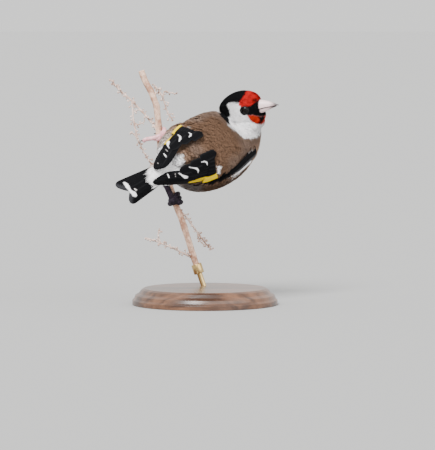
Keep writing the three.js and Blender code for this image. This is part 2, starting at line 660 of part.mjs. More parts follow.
let flesh = solid(trunkGeometry(), BODY).add(solid(headGeometry(), SKULL));
for (const side of sides) {
  flesh = flesh.add(solid(lid(side), SKULL)).subtract(solid(eyeball(side, GAP), SKULL));
  flesh = flesh.subtract(wingPocket(side));
}
const headCut = headPoint(0, 0, 0).addScaledVector(neckLine, HEAD_CUT);
const neckCut = bodyPoint(NECK_CUT, 0.6, 2.5);
flesh = flesh.subtract(parting(headCut, neckLine)).subtract(parting(neckCut, bodyForward));
const pieces = flesh.decompose().sort((a, b) => b.volume() - a.volume()).slice(0, 3);
const middleOf = (made) => {
  const box = made.boundingBox();
  return new THREE.Vector3(...[0, 1, 2].map((i) => (box.min[i] + box.max[i]) / 2)).dot(bodyForward);
};
const [torsoSolid, neckSolid, headSolid] = pieces.sort((a, b) => middleOf(a) - middleOf(b));

// Bill halves start on the head's surface
const headSwollen = solid(headGeometry(GAP), SKULL);
let upperBill = solid(billHalf(UPPER_BILL, true), SKULL).subtract(headSwollen);
for (const side of sides) {
  const pit = new THREE.SphereGeometry(NOSTRIL.radius, 8, 6).translate(NOSTRIL.x, side * NOSTRIL.y, NOSTRIL.z);
  upperBill = upperBill.subtract(solid(pit, SKULL));
}
const lowerBill = solid(billHalf(LOWER_BILL, false), SKULL).subtract(headSwollen);

const torsoSwollen = solid(trunkGeometry(GAP), BODY);
const tail = tailSolid().subtract(torsoSwollen);

add(body, "torso", torsoSolid, materials.brown);
add(body, "neck", neckSolid, materials.brown);
add(skull, "head", headSolid, materials.brown);
add(skull, "bill_upper", upperBill, materials.bill);
add(skull, "bill_lower", lowerBill, materials.bill);
for (const side of sides) {
  const name = SIDE_NAMES.get(side);
  add(skull, `eye_${name}`, solid(eyeball(side, 0), SKULL), materials.eye);
  const around = torsoSwollen.subtract(wingRoom(side));
  add(body, `wing_${name}`, wing(side).subtract(around), materials.black);
}
add(body, "tail", tail, materials.black);

// Legs: thigh, shank, foot and claws, each cut back from its neighbour
const stemRoom = stemSolid(GAP);
const twigRoom = join(Object.values(TWIGS).map((branches) => twigSolid(branches.map(([radius, ...line]) =>
  [radius + GAP, ...line]))));
for (const side of sides) {
  const name = SIDE_NAMES.get(side);
  const leg = LEGS[name];
  const [hip, heel] = [vector(leg.hip), vector(leg.heel)];
  const frame = footFrame(leg);
  const ankle = gripPoint(frame, 0, 0, GRIP + 0.6);
  const thighLine = THIGH_RADII.map((_, i) => hip.clone().lerp(heel, i / (THIGH_RADII.length - 1)));
  const thigh = (margin) => solid(tube(thighLine, THIGH_RADII.map((radius) => radius + margin), 12));
  const shankLine = Array.from({ length: 6 }, (_, i) => heel.clone().lerp(ankle, i / 5));
  const shank = (margin) => solid(tube(shankLine, shankLine.map((p, i) =>
    SHANK_RADIUS * (i === 0 || i === 5 ? 1.12 : 0.95) + margin), 10));
  const pad = (margin) => ball(ankle, PAD_RADIUS + margin);
  add(legs, `thigh_${name}`, thigh(0).subtract(torsoSwollen), materials.brown);
  add(legs, `shank_${name}`, shank(0).subtract(thigh(GAP)).subtract(pad(GAP)).subtract(torsoSwollen),
    materials.skin);
  const foot = join([pad(0), ...leg.toes.map((toe) => toeSolid(leg, toe))]);
  add(legs, `foot_${name}`, foot.subtract(stemRoom).subtract(twigRoom), materials.skin);
  leg.toes.forEach((toe, i) => {
    const cleared = clawSolid(leg, toe).subtract(toeSolid(leg, toe, GAP)).subtract(stemRoom).subtract(twigRoom);
    add(legs, `claw_${name}_${i + 1}`, cleared, materials.black);
  });
}

// The stand: a turned base, and a rod with a socket that holds the stem's lower end
const BASE = { radius: 40, height: 9 };
const ROD = { radius: 1.5, socket: 2.9, depth: 3.2, sunk: 4 };
const foot = STEM_CURVE.getPoint(0);
const lean = STEM_CURVE.getTangent(0);
const socketTop = foot.clone().addScaledVector(lean, ROD.depth);
const socketEnd = foot.clone().addScaledVector(lean, -2.2);
const rodEnd = new THREE.Vector3(foot.x - lean.x * 14, foot.y, BASE.height - ROD.sunk);
const rodLine = [socketEnd.clone().addScaledVector(lean, 1), new THREE.Vector3().lerpVectors(socketEnd, rodEnd, 0.5), rodEnd];
const rod = (margin) => solid(tube(rodLine, [1, 1, 1].map(() => ROD.radius + margin), 16));
const socket = solid(tube([socketTop, foot, socketEnd], [1, 1, 1].map(() => ROD.socket), 20));
const baseProfile = [[0, 0], [BASE.radius, 0], [BASE.radius, 2.5], [BASE.radius - 1, 3.5], [BASE.radius - 1.6, 5.2],
  [BASE.radius - 3.6, 6.4], [BASE.radius - 5, 8.2], [BASE.radius - 6.5, BASE.height], [0, BASE.height]];
const base = new THREE.LatheGeometry(baseProfile.map(([x, y]) => new THREE.Vector2(x, y)), 48).rotateX(Math.PI / 2);
const perchStem = stemSolid();
add(perch, "perch_stem", perchStem, materials.bark);
for (const [name, branches] of Object.entries(TWIGS)) {
  add(perch, name, twigSolid(branches).subtract(stemRoom), materials.bark);
}
add(stand, "stand_rod", join([rod(0), socket]).subtract(stemRoom), materials.brass);
add(stand, "stand_base", solid(base).subtract(rod(GAP)), materials.wood);

export default goldfinch;
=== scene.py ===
"""A life-size European goldfinch clinging to a dry weed stem on a small museum stand.

Shapes are worked out in millimetres, in the bird's own frames (x forwards, y to its left, z up its
back), and put into meshes in metres. The reference view looks along +Y.
"""
import math

import bpy
import numpy as np
from mathutils.kdtree import KDTree
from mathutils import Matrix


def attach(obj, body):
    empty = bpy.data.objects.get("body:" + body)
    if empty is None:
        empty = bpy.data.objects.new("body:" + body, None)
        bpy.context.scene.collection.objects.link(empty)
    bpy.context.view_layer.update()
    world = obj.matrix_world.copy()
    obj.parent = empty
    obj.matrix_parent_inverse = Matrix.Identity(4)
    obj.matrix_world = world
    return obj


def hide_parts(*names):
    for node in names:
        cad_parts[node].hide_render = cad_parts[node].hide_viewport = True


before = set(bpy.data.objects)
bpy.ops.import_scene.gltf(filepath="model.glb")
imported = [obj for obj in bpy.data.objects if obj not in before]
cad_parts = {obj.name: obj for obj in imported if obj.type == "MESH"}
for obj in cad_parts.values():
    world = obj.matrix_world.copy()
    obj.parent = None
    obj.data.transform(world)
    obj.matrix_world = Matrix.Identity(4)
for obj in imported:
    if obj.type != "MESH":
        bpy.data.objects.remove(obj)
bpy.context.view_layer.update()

METRE = 0.001  # one millimetre
RADIAN = 57.3  # degrees in a radian
SIDES = {"left": 1.0, "right": -1.0}


# Frames and smooth rows

def place(at, heading, pitch, roll):
    """Columns forward, left and up of a frame at a point: forward by heading and pitch, up rolled right."""
    h, p, r = np.radians([heading, pitch, roll])
    forward = np.array([np.cos(p) * np.cos(h), np.cos(p) * np.sin(h), np.sin(p)])
    across = np.array([-np.sin(h), np.cos(h), 0.0])
    up = np.cross(forward, across) * np.cos(r) - across * np.sin(r)
    left = np.cross(up, forward)
    return np.stack([forward, left, up], axis=1), np.array(at, float)


BODY = place([-0.8, 0, 85.5], 53, 16.6, 57)
SKULL = place([19.2, 11.0, 107.7], -20, 4, 12)


def outward(frame_of, points):
    """Points of a frame in the model's millimetres: turn times point plus origin."""
    turn, origin = frame_of
    return points @ turn.T + origin


def inward(frame_of, points):
    """Points of the model in a frame's own millimetres: (point - origin) times the turn."""
    turn, origin = frame_of
    return (points - origin) @ turn


def along(rows, t):
    """Each column as a smooth curve over the first: cubics whose slope at a row joins its neighbours."""
    rows = np.asarray(rows, float)
    if rows[-1, 0] < rows[0, 0]:
        rows = rows[::-1]
    x = rows[:, 0]
    order = np.arange(len(x))
    before = np.maximum(order - 1, 0)
    after = np.minimum(order + 1, len(x) - 1)
    slope = (rows[after] - rows[before]) / (x[after] - x[before])[:, None]
    t = np.asarray(t, float)
    i = np.clip(np.searchsorted(x, t) - 1, 0, len(x) - 2)
    span = (x[i + 1] - x[i])[..., None]
    s = np.clip((t - x[i])[..., None] / span, 0, 1)
    eased = 3 * s**2 - 2 * s**3
    return (rows[i] * (1 - eased) + rows[i + 1] * eased
            + span * ((s**3 - 2 * s**2 + s) * slope[i] + (s**3 - s**2) * slope[i + 1]))


def spline(points, count):
    """Points evenly spread in parameter on the smooth curve through the given points."""
    points = np.asarray(points, float)
    keyed = np.column_stack([np.arange(len(points)), points])
    return along(keyed, np.linspace(0, len(points) - 1, count))[:, 1:]


def ease(low, high, value):
    """0 below low, 1 above high, and a smooth step between."""
    s = np.clip((value - low) / (high - low), 0, 1)
    return s * s * (3 - 2 * s)


def unit(vectors):
    """Vectors over their lengths."""
    return vectors / np.maximum(np.linalg.norm(vectors, axis=-1, keepdims=True), 1e-9)


# Meshes from arrays

def grid_faces(rows, columns, wrap):
    """Quads of a grid of rows by columns, which closes on itself across when wrap is set."""
    i = np.arange(rows - 1)[:, None]
    k = np.arange(columns if wrap else columns - 1)[None, :]
    a = i * columns + k
    b = i * columns + (k + 1) % columns
    return np.stack([a, b, b + columns, a + columns], axis=-1).reshape(-1, 4)


def mesh_from(name, points, quads=None, triangles=None):
    """A mesh in metres from millimetre points, quads and triangles, all given as whole arrays."""
    mesh = bpy.data.meshes.new(name)
    groups = [np.asarray(f, int) for f in (quads, triangles) if f is not None and len(f)]
    sizes = np.concatenate([np.full(len(f), f.shape[1]) for f in groups])
    corners = np.concatenate([f.ravel() for f in groups])
    mesh.vertices.add(len(points))
    mesh.vertices.foreach_set("co", (np.asarray(points) * METRE).astype(np.float32).ravel())
    mesh.loops.add(len(corners))
    mesh.loops.foreach_set("vertex_index", corners.astype(np.int32))
    mesh.polygons.add(len(sizes))
    starts = np.concatenate([[0], np.cumsum(sizes)[:-1]])
    mesh.polygons.foreach_set("loop_start", starts.astype(np.int32))
    mesh.polygons.foreach_set("use_smooth", np.ones(len(sizes), bool))
    mesh.update(calc_edges=True)
    mesh.validate()
    return mesh


def add_piece(name, mesh, material, nodes=()):
    """A piece of the model on its body, with its material and the nodes that it stands for."""
    piece = bpy.data.objects.new(name, mesh)
    bpy.context.scene.collection.objects.link(piece)
    piece.data.materials.append(material)
    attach(piece, "root")
    if nodes:
        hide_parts(*nodes)
    return piece


def set_colours(mesh, name, colours):
    """One colour at each point of a mesh, kept as an attribute that its material reads."""
    layer = mesh.attributes.new(name, "FLOAT_COLOR", "POINT")
    rgba = np.column_stack([colours, np.ones(len(colours))]).astype(np.float32)
    layer.data.foreach_set("color", rgba.ravel())


def set_uv(mesh, name, places):
    """A UV map from one place for each point of the mesh."""
    layer = mesh.uv_layers.new(name=name)
    corners = np.zeros(len(mesh.loops), np.int32)
    mesh.loops.foreach_get("vertex_index", corners)
    layer.data.foreach_set("uv", places[corners].astype(np.float32).ravel())


class Parts:
    """Points and faces gathered from several shapes, to be made one mesh."""

    def __init__(self):
        self.points, self.quads, self.triangles, self.colours, self.uv = [], [], [], [], []
        self.count = 0

    def add(self, points, quads=None, triangles=None, colours=None, uv=None):
        """One more shape, whose faces count on from the points already held."""
        if quads is not None:
            self.quads.append(np.asarray(quads) + self.count)
        if triangles is not None:
            self.triangles.append(np.asarray(triangles) + self.count)
        self.points.append(points)
        self.colours.append(np.zeros((len(points), 3)) if colours is None else colours)
        self.uv.append(np.zeros((len(points), 2)) if uv is None else uv)
        self.count += len(points)

    def mesh(self, name, colour_name=None, uv_name=None):
        """All the shapes as one mesh, with their colours and UV map where names are given."""
        quads = np.concatenate(self.quads) if self.quads else None
        triangles = np.concatenate(self.triangles) if self.triangles else None
        made = mesh_from(name, np.concatenate(self.points), quads, triangles)
        if colour_name:
            set_colours(made, colour_name, np.concatenate(self.colours))
        if uv_name:
            set_uv(made, uv_name, np.concatenate(self.uv))
        return made


def closed_tube(rings):
    """Points, quads and end fans of a skin over rings (rows, columns, 3), closed at both ends."""
    rows, columns = rings.shape[:2]
    points = np.concatenate([rings.reshape(-1, 3), rings[:1].mean(axis=1), rings[-1:].mean(axis=1)])
    first, last = rows * columns, rows * columns + 1
    k = np.arange(columns)
    n = (k + 1) % columns
    fans = np.concatenate([
        np.stack([np.full(columns, first), n, k], axis=1),
        np.stack([np.full(columns, last), (rows - 1) * columns + k, (rows - 1) * columns + n], axis=1),
    ])
    return points, grid_faces(rows, columns, True), fans


def path_frames(line):
    """Two directions across a path at each of its points, square to it and turning little."""
    ahead = unit(np.gradient(line, axis=0))
    guide = np.array([0.31, -0.9, 0.29])
    across = []
    for direction in ahead:
        guide = unit(guide - direction * guide.dot(direction))
        across.append(guide)
    across = np.array(across)
    return across, np.cross(ahead, across)


def tube_rings(line, radii, sides, relief=None):
    """Rings round a path: radius times one plus relief, which is given for each point and side."""
    across, third = path_frames(line)
    turn = np.linspace(0, 2 * np.pi, sides, endpoint=False)
    reach = np.asarray(radii, float)[:, None] * (1 + (0 if relief is None else relief))
    reach = np.broadcast_to(reach, (len(line), sides))[..., None]
    return (line[:, None] + reach * (across[:, None] * np.cos(turn)[None, :, None]
                                     + third[:, None] * np.sin(turn)[None, :, None]))


def ripple(points, size, seed=0.0):
    """A smooth unevenness of about -1 to 1: sines of the place over size, in three turned directions."""
    p = np.asarray(points) / size
    a = np.sin(p[..., 0] * 1.7 + 1.3 * np.sin(p[..., 1] * 1.1 + seed) + seed)
    b = np.sin(p[..., 1] * 1.9 + 1.2 * np.sin(p[..., 2] * 1.3 + 2.1 * seed) + 1.7)
    c = np.sin(p[..., 2] * 1.6 + 1.4 * np.sin(p[..., 0] * 1.2 + 0.7 * seed) + 4.1)
    return (a + b + c) / 3


# Sizes of the bird, in millimetres

# Station, then its centre to the left and up, half width, and heights above and below that centre
TRUNK = [
    [-32, 0, 2.0, 3.2, 2.8, 2.8],
    [-28, 0, 1.8, 10.2, 6.6, 7.6],
    [-20, -0.4, 1.0, 15.8, 12.0, 13.8],
    [-10, -1.8, 0, 19.4, 17.4, 18.8],
    [0, -2.5, 0, 20.9, 18.8, 20.8],
    [10, -2.7, 0.5, 20.6, 17.8, 20.6],
    [18, -2.6, 2.2, 19.0, 15.2, 18.6],
    [24, -2.2, 5.6, 16.2, 13.0, 15.6],
    [27.6, -0.8, 9.6, 12.6, 11.0, 12.6],
    [28.4, 2.4, 12.8, 10.4, 9.6, 10.4],
    [27.4, 6.0, 15.2, 7.6, 7.0, 7.6],
]
# Station along the head, centre's height, half width, and heights above and below that centre
HEAD = [
    [-11.2, 0.2, 1.2, 1.0, 1.3],
    [-10.2, 0.2, 4.2, 3.2, 4.8],
    [-7.4, 0.2, 6.8, 6.0, 8.0],
    [-3.0, 0.2, 8.5, 8.4, 10.4],
    [1.5, 0.1, 8.7, 9.5, 11.0],
    [5.4, 0, 7.5, 9.5, 10.2],
    [8.8, -0.1, 6.2, 8.6, 8.4],
    [11.4, -0.2, 4.2, 6.7, 5.8],
    [12.6, -0.2, 1.8, 3.4, 2.6],
]
EYE = {"x": 5.2, "y": 5.45, "z": 0.1, "radius": 2.7}
LID = {"radius": 2.1, "tube": 0.38, "y": 7.45, "turn": 16}
# Station, half width, and upper and lower edge
UPPER_BILL = [
    [9.6, 3.5, 4.3, -0.9],
    [12.0, 3.2, 4.0, -0.5],
    [15.5, 2.35, 3.25, 0.0],
    [19.0, 1.35, 2.1, 0.25],
    [21.6, 0.6, 1.05, 0.3],
    [22.9, 0.18, 0.45, 0.15],
]
LOWER_BILL = [
    [9.6, 3.1, -1.2, -4.1],
    [12.0, 2.85, -0.8, -3.7],
    [15.5, 2.0, -0.3, -2.6],
    [19.0, 1.1, -0.05, -1.2],
    [21.5, 0.35, 0.0, -0.35],
]
# The surface that the folded wings lie on, in rows like the trunk's
WING_BED = [
    [26, -2.6, 6.0, 16.0, 13.2, 15.0],
    [18, -2.6, 2.0, 18.8, 15.4, 17.6],
    [10, -2.4, 0.6, 19.8, 17.4, 18.6],
    [0, -1.6, 0, 20.0, 18.0, 19.0],
    [-10, -0.9, 0.2, 17.8, 16.4, 17.0],
    [-20, -0.3, 1.0, 14.8, 12.8, 12.0],
    [-30, 0, 1.8, 12.2, 9.2, 7.5],
    [-40, 0, 2.2, 9.2, 5.8, 4.6],
    [-48, 0, 2.0, 6.8, 4.3, 3.6],
    [-57, 0, 1.8, 5.0, 3.1, 3.0],
]
# How each wing is folded: where its outermost feather starts and how far it bows out, then the tips of
# each group as station along the body and angle from the middle of the back
WINGS = {
    "left": {"outer": 59, "bow": 11, "primary_tips": [-47.5, -48.6, -49.2, -49.2, -48.6, -47.5, -46],
             "primary_fan": (32, 9), "secondary_tips": (-41, -34.5), "secondary_fan": (34, 45),
             "tertial_tips": [[-34.2, 41], [-27.2, 34], [-21.4, 28]]},
    "right": {"outer": 69, "bow": 22, "primary_tips": [-53.5, -55, -55, -54.5, -53, -50.5, -47.5],
              "primary_fan": (38, 23), "secondary_tips": (-45, -38.5), "secondary_fan": (39, 46),
              "tertial_tips": [[-38.2, 40], [-31.2, 35], [-23.8, 30]]},
}
TAIL = {"root": -27, "tip": -76.5, "further": 2, "notch": -74.3, "drift": -1.3, "pairs": 6, "half": 2.8,
        "fan": 3.1, "z": 1.2, "lifted": 2.2, "crown": 0.02, "step": 0.24}
VANE = 0.34  # a flight feather's thickness at its shaft
BODY_COAT = 0.95  # depth of the coat over the skin
HEAD_COAT = 0.5

STEM_LINE = [
    [-3.9, 15, 17.9], [-8.2, 15, 30.6], [-12.1, 15, 43.3], [-16.0, 14.7, 53.8], [-20.4, 15, 67.5],
    [-23.7, 15.4, 80.7], [-25.3, 15.5, 90.6], [-25.9, 15, 100.6], [-27.0, 15, 108.9],
    [-29.7, 15, 116.0], [-33.6, 15, 123.7], [-35.2, 15, 128.2],
]
STEM_RADIUS = 1.65
# Each twig's branches, as a radius and the points of its line
TWIGS = {
    "perch_twig_left": [
        [0.62, [-26.1, 15, 94.5], [-31.9, 16, 102.2], [-41.2, 17, 112.0], [-47.9, 18, 118.0],
         [-51.7, 18.5, 122.4]],
        [0.5, [-40.4, 17, 110.9], [-39.6, 16, 101.1], [-38.0, 15.5, 93.4], [-36.0, 15.5, 87.9],
         [-33.6, 16.5, 82.3], [-30.8, 18, 77.8], [-28.1, 19, 75.0]],
        [0.42, [-39.6, 16, 100.0], [-37.4, 17, 98.2], [-33.6, 18, 99.8]],
        [0.42, [-36.3, 15.5, 87.9], [-39.1, 14.5, 92.9], [-40.7, 14, 93.5]],
    ],
    "perch_twig_top": [
        [0.55, [-27.8, 15, 113.3], [-26.4, 17, 118.1], [-23.4, 18, 113.1], [-20.9, 18.5, 105.3],
         [-17.6, 19, 100.3]],
        [0.42, [-23.1, 18, 113.1], [-22.6, 18, 116.4], [-19.2, 18.5, 115.8], [-15.4, 19, 115.2]],
        [0.42, [-26.4, 17, 118.1], [-28.1, 17.5, 120.3]],
    ],
    "perch_twig_right": [
        [0.6, [-14.3, 15, 51.0], [-10.5, 17, 47.0], [-4.4, 18, 38.6], [0.0, 18.5, 32.5],
         [3.9, 19, 28.6]],
        [0.45, [-4.4, 18, 38.6], [-3.3, 18, 34.2], [0.6, 17, 30.4]],
    ],
    "perch_twig_low": [
        [0.6, [-7.2, 15, 24.5], [-16.0, 13, 29.1], [-24.8, 12, 33.0], [-32.5, 12, 35.7]],
        [0.45, [-24.8, 12, 33.0], [-25.9, 11.5, 38.0], [-24.8, 11.5, 39.6]],
    ],
}
# Where each thigh starts and ends, its foot's height on the stem, and its toes: turn round the stem and
# rise, or for a toe that lets go of the stem the point that it reaches
LEGS = {
    "left": {"hip": [-16.6, 4.6, 85.0], "heel": [-21.0, 11.4, 83.2], "height": 93.0,
             "toes": [(150, 2.6), (160, 0.2), [-35.4, 13.6, 88.6], (-105, -2.4)]},
    "right": {"hip": [-13.0, 2.4, 72.0], "heel": [-21.6, 8.6, 65.6], "height": 56.6,
              "toes": [(150, 2.6), (160, 0.2), (145, -2.2), (-105, -1.2)]},
}
THIGH_RADII = [4.6, 4.0, 3.0, 2.1, 1.5]
SHANK_RADIUS = 1.1
PAD_RADIUS = 1.7
TOE_RADIUS = 0.92
GRIP = STEM_RADIUS * 1.1 + 0.3 + TOE_RADIUS
BASE_PROFILE = [[0, 0], [40, 0], [40, 2.5], [39, 3.5], [38.4, 5.2], [36.4, 6.4], [35, 8.2], [33.5, 9],
                [0, 9]]
ROD = {"radius": 1.5, "socket": 2.9, "depth": 3.2, "sunk": 4}


# Materials

def new_group(name, inputs, outputs):
    """An empty shader node group with named sockets, and its input and output nodes."""
    tree = bpy.data.node_groups.new(name, "ShaderNodeTree")
    kinds = {"colour": "NodeSocketColor", "value": "NodeSocketFloat", "vector": "NodeSocketVector"}
    for label, kind in inputs:
        tree.interface.new_socket(name=label, in_out="INPUT", socket_type=kinds[kind])
    for label, kind in outputs:
        tree.interface.new_socket(name=label, in_out="OUTPUT", socket_type=kinds[kind])
    return tree, tree.nodes.new("NodeGroupInput").outputs, tree.nodes.new("NodeGroupOutput").inputs


def new_material(name, roughness, **finish):
    """A new material's tree and shader, with the shader's plain values set."""
    material = bpy.data.materials.new(name)
    material.use_nodes = True
    tree = material.node_tree
    tree.nodes.clear()
    shader = tree.nodes.new("ShaderNodeBsdfPrincipled")
    output = tree.nodes.new("ShaderNodeOutputMaterial")
    tree.links.new(shader.outputs["BSDF"], output.inputs["Surface"])
    shader.inputs["Roughness"].default_value = roughness
    for label, value in finish.items():
        shader.inputs[label.replace("_", " ").title().replace("Ior", "IOR")].default_value = value
    return material, tree, shader


def node(tree, kind, inputs=(), **settings):
    """A node with its settings and its inputs, each a plain value or another node's output."""
    made = tree.nodes.new(kind)
    for key, value in settings.items():
        setattr(made, key, value)
    for key, value in dict(inputs).items():
        if isinstance(value, bpy.types.NodeSocket):
            tree.links.new(value, made.inputs[key])
        else:
            made.inputs[key].default_value = value
    return made


def place_group(tree, group, inputs):
    """A node group placed in a tree, with its inputs."""
    return node(tree, "ShaderNodeGroup", inputs, node_tree=group)


def finish_material(tree, shader, colour, normal):
    """The shader's colour and relief joined to it."""
    tree.links.new(colour, shader.inputs["Base Color"])
    tree.links.new(normal, shader.inputs["Normal"])


def fleck_group():
    """A colour lightened and darkened by fine noise at a place, with the same noise as relief."""
    tree, given, out = new_group("flecks", [("Tint", "colour"), ("Place", "vector"), ("Fineness", "value"),
                                            ("Dark", "value"), ("Light", "value"), ("Relief", "value")],
                                 [("Color", "colour"), ("Normal", "vector")])
    noise = node(tree, "ShaderNodeTexNoise", {"Vector": given["Place"], "Scale": given["Fineness"],
                                              "Detail": 4.0, "Roughness": 0.6}).outputs["Fac"]
    shade = node(tree, "ShaderNodeMapRange", {"Value": noise, "From Min": 0.3, "From Max": 0.7,
                                              "To Min": given["Dark"], "To Max": given["Light"]})
    lit = node(tree, "ShaderNodeVectorMath", {0: given["Tint"], 1: shade.outputs["Result"]},
               operation="MULTIPLY").outputs[0]
    bump = node(tree, "ShaderNodeBump", {"Height": noise, "Strength": 1.0,
                                         "Distance": given["Relief"]}).outputs[0]
    tree.links.new(lit, out["Color"])
    tree.links.new(bump, out["Normal"])
    return tree


def blotch_group():
    """Two tones in larger soft blotches, for skin, bark, wood and metal."""
    tree, given, out = new_group("blotches", [("Dark", "colour"), ("Light", "colour"), ("Place", "vector"),
                                              ("Fineness", "value")], [("Color", "colour")])
    noise = node(tree, "ShaderNodeTexNoise", {"Vector": given["Place"], "Scale": given["Fineness"],
                                              "Detail": 6.0, "Roughness": 0.6,
                                              "Distortion": 0.3}).outputs["Fac"]
    share = node(tree, "ShaderNodeMapRange", {"Value": noise, "From Min": 0.34, "From Max": 0.66},
                 interpolation_type="SMOOTHSTEP").outputs["Result"]
    mix = node(tree, "ShaderNodeMix", {0: share, 6: given["Dark"], 7: given["Light"]}, data_type="RGBA")
    tree.links.new(mix.outputs[2], out["Color"])
    return tree


FLECKS = fleck_group()
BLOTCHES = blotch_group()


def flecked(tree, tint, where, fineness, dark, light, relief):
    """The colour and the normal of a tint under fine flecks."""
    made = place_group(tree, FLECKS, {"Tint": tint, "Place": where, "Fineness": fineness, "Dark": dark,
                                      "Light": light, "Relief": relief})
    return made.outputs["Color"], made.outputs["Normal"]


def blotched(tree, dark, light, where, fineness):
    """The colour of two tones in soft blotches."""
    made = place_group(tree, BLOTCHES, {"Dark": (*dark, 1), "Light": (*light, 1), "Place": where,
                                        "Fineness": fineness})
    return made.outputs["Color"]


def plumage_material():
    """Small body feathers and the skin under them: the plumage colour, finely mottled, soft and matte."""
    material, tree, shader = new_material("plumage", 0.85, specular_ior_level=0.1)
    tint = node(tree, "ShaderNodeAttribute", attribute_name="plumage").outputs["Color"]
    where = node(tree, "ShaderNodeTexCoord").outputs["Object"]
    finish_material(tree, shader, *flecked(tree, tint, where, 2600.0, 0.8, 1.18, 0.00002))
    return material


def vane_material():
    """Flight feathers: barbs run slantwise out from each shaft as fine ridges, with a slight gloss."""
    material, tree, shader = new_material("flight_feathers", 0.6, specular_ior_level=0.04)
    tint = node(tree, "ShaderNodeAttribute", attribute_name="plumage").outputs["Color"]
    laid = node(tree, "ShaderNodeUVMap", uv_map="vane").outputs["UV"]
    split = node(tree, "ShaderNodeSeparateXYZ", {"Vector": laid})
    out_by = node(tree, "ShaderNodeMath", {0: split.outputs["X"]}, operation="ABSOLUTE").outputs[0]
    slant = node(tree, "ShaderNodeMath", {0: out_by, 1: -0.9, 2: split.outputs["Y"]},
                 operation="MULTIPLY_ADD")
    line = node(tree, "ShaderNodeCombineXYZ", {"X": slant.outputs[0], "Y": 0.0, "Z": 0.0}).outputs[0]
    barbs = node(tree, "ShaderNodeTexWave", {"Vector": line, "Scale": 1.3, "Distortion": 0.6, "Detail": 2.0,
                                             "Detail Scale": 3.0}).outputs["Fac"]
    colour, normal = flecked(tree, tint, line, 5.0, 0.8, 1.25, 0.00001)
    bump = node(tree, "ShaderNodeBump", {"Height": barbs, "Strength": 0.5, "Distance": 0.00006,
                                         "Normal": normal}).outputs["Normal"]
    finish_material(tree, shader, colour, bump)
    return material


def bill_material():
    """Horn: pinkish white, darker at the tip, with faint growth lines along it."""
    material, tree, shader = new_material("bill", 0.36)
    laid = node(tree, "ShaderNodeUVMap", uv_map="horn").outputs["UV"]
    split = node(tree, "ShaderNodeSeparateXYZ", {"Vector": laid})
    far = node(tree, "ShaderNodeMapRange", {"Value": split.outputs["X"], "From Min": 0.55, "From Max": 0.9},
               interpolation_type="SMOOTHSTEP").outputs["Result"]
    mix = node(tree, "ShaderNodeMix", {0: far, 6: (0.80, 0.60, 0.60, 1), 7: (0.06, 0.045, 0.045, 1)},
               data_type="RGBA").outputs[2]
    drawn = node(tree, "ShaderNodeMapping", {"Vector": laid, "Scale": (0.6, 5.0, 1.0)}).outputs["Vector"]
    finish_material(tree, shader, *flecked(tree, mix, drawn, 6.0, 0.88, 1.08, 0.00005))
    return material


def mottled_material(name, dark, light, blotch, fine, relief, roughness, **finish):
    """Two tones in blotches with fine flecks and relief over them, for skin, horn, bark and metal."""
    material, tree, shader = new_material(name, roughness, **finish)
    where = node(tree, "ShaderNodeTexCoord").outputs["Object"]
    tone = blotched(tree, dark, light, where, blotch)
    finish_material(tree, shader, *flecked(tree, tone, where, fine, 0.85, 1.12, relief))
    return material


def bark_material(name, dark, light):
    """Dry bark: long fibres along the stem or twig in one tone, with darker blotches."""
    material, tree, shader = new_material(name, 0.88, specular_ior_level=0.25)
    laid = node(tree, "ShaderNodeUVMap", uv_map="bark").outputs["UV"]
    drawn = node(tree, "ShaderNodeMapping", {"Vector": laid, "Scale": (7.0, 0.5, 1.0)}).outputs["Vector"]
    where = node(tree, "ShaderNodeTexCoord").outputs["Object"]
    tone = blotched(tree, dark, light, where, 260.0)
    finish_material(tree, shader, *flecked(tree, tone, drawn, 2.2, 0.72, 1.18, 0.00025))
    return material


def wood_material():
    """Dark turned hardwood: its grain runs across the base, under a thin polish."""
    material, tree, shader = new_material("turned_wood", 0.36, coat_weight=0.35, coat_roughness=0.2)
    where = node(tree, "ShaderNodeTexCoord").outputs["Object"]
    laid = node(tree, "ShaderNodeMapping", {"Vector": where, "Scale": (6.0, 46.0, 46.0)}).outputs["Vector"]
    tone = blotched(tree, (0.040, 0.016, 0.008), (0.15, 0.066, 0.032), laid, 3.2)
    finish_material(tree, shader, *flecked(tree, tone, laid, 22.0, 0.8, 1.15, 0.00008))
    return material


MATERIALS = {
    "plumage": plumage_material(),
    "vane": vane_material(),
    "bill": bill_material(),
    "eye": mottled_material("eye", (0.002, 0.0015, 0.0015), (0.006, 0.004, 0.003), 500, 1500, 0.0, 0.05,
                            specular_ior_level=0.16),
    "lid": mottled_material("eyelid", (0.003, 0.003, 0.003), (0.012, 0.011, 0.011), 900, 2600, 0.00004, 0.7,
                            specular_ior_level=0.15),
    "pale_leg": mottled_material("leg_skin", (0.62, 0.26, 0.29), (0.80, 0.50, 0.52), 420, 1800, 0.00004,
                                 0.5),
    # The right leg and foot: the same skin painted near black, as painted shade.
    "leg_in_painted_shade": mottled_material("leg_skin_painted_shade", (0.006, 0.004, 0.008), (0.022, 0.014, 0.024), 420, 1800,
                                 0.00004, 0.6, specular_ior_level=0.15),
    "claw": mottled_material("claw", (0.03, 0.02, 0.018), (0.10, 0.07, 0.06), 500, 1500, 0.00002, 0.3),
    "bark": bark_material("dry_stem", (0.38, 0.19, 0.12), (0.80, 0.55, 0.41)),
    "twig": bark_material("dry_twig", (0.48, 0.30, 0.23), (0.82, 0.65, 0.57)),
    "wood": wood_material(),
    "brass": mottled_material("brass", (0.50, 0.34, 0.13), (0.66, 0.48, 0.22), 160, 1600, 0.00001, 0.28,
                              metallic=1.0),
}


# Markings

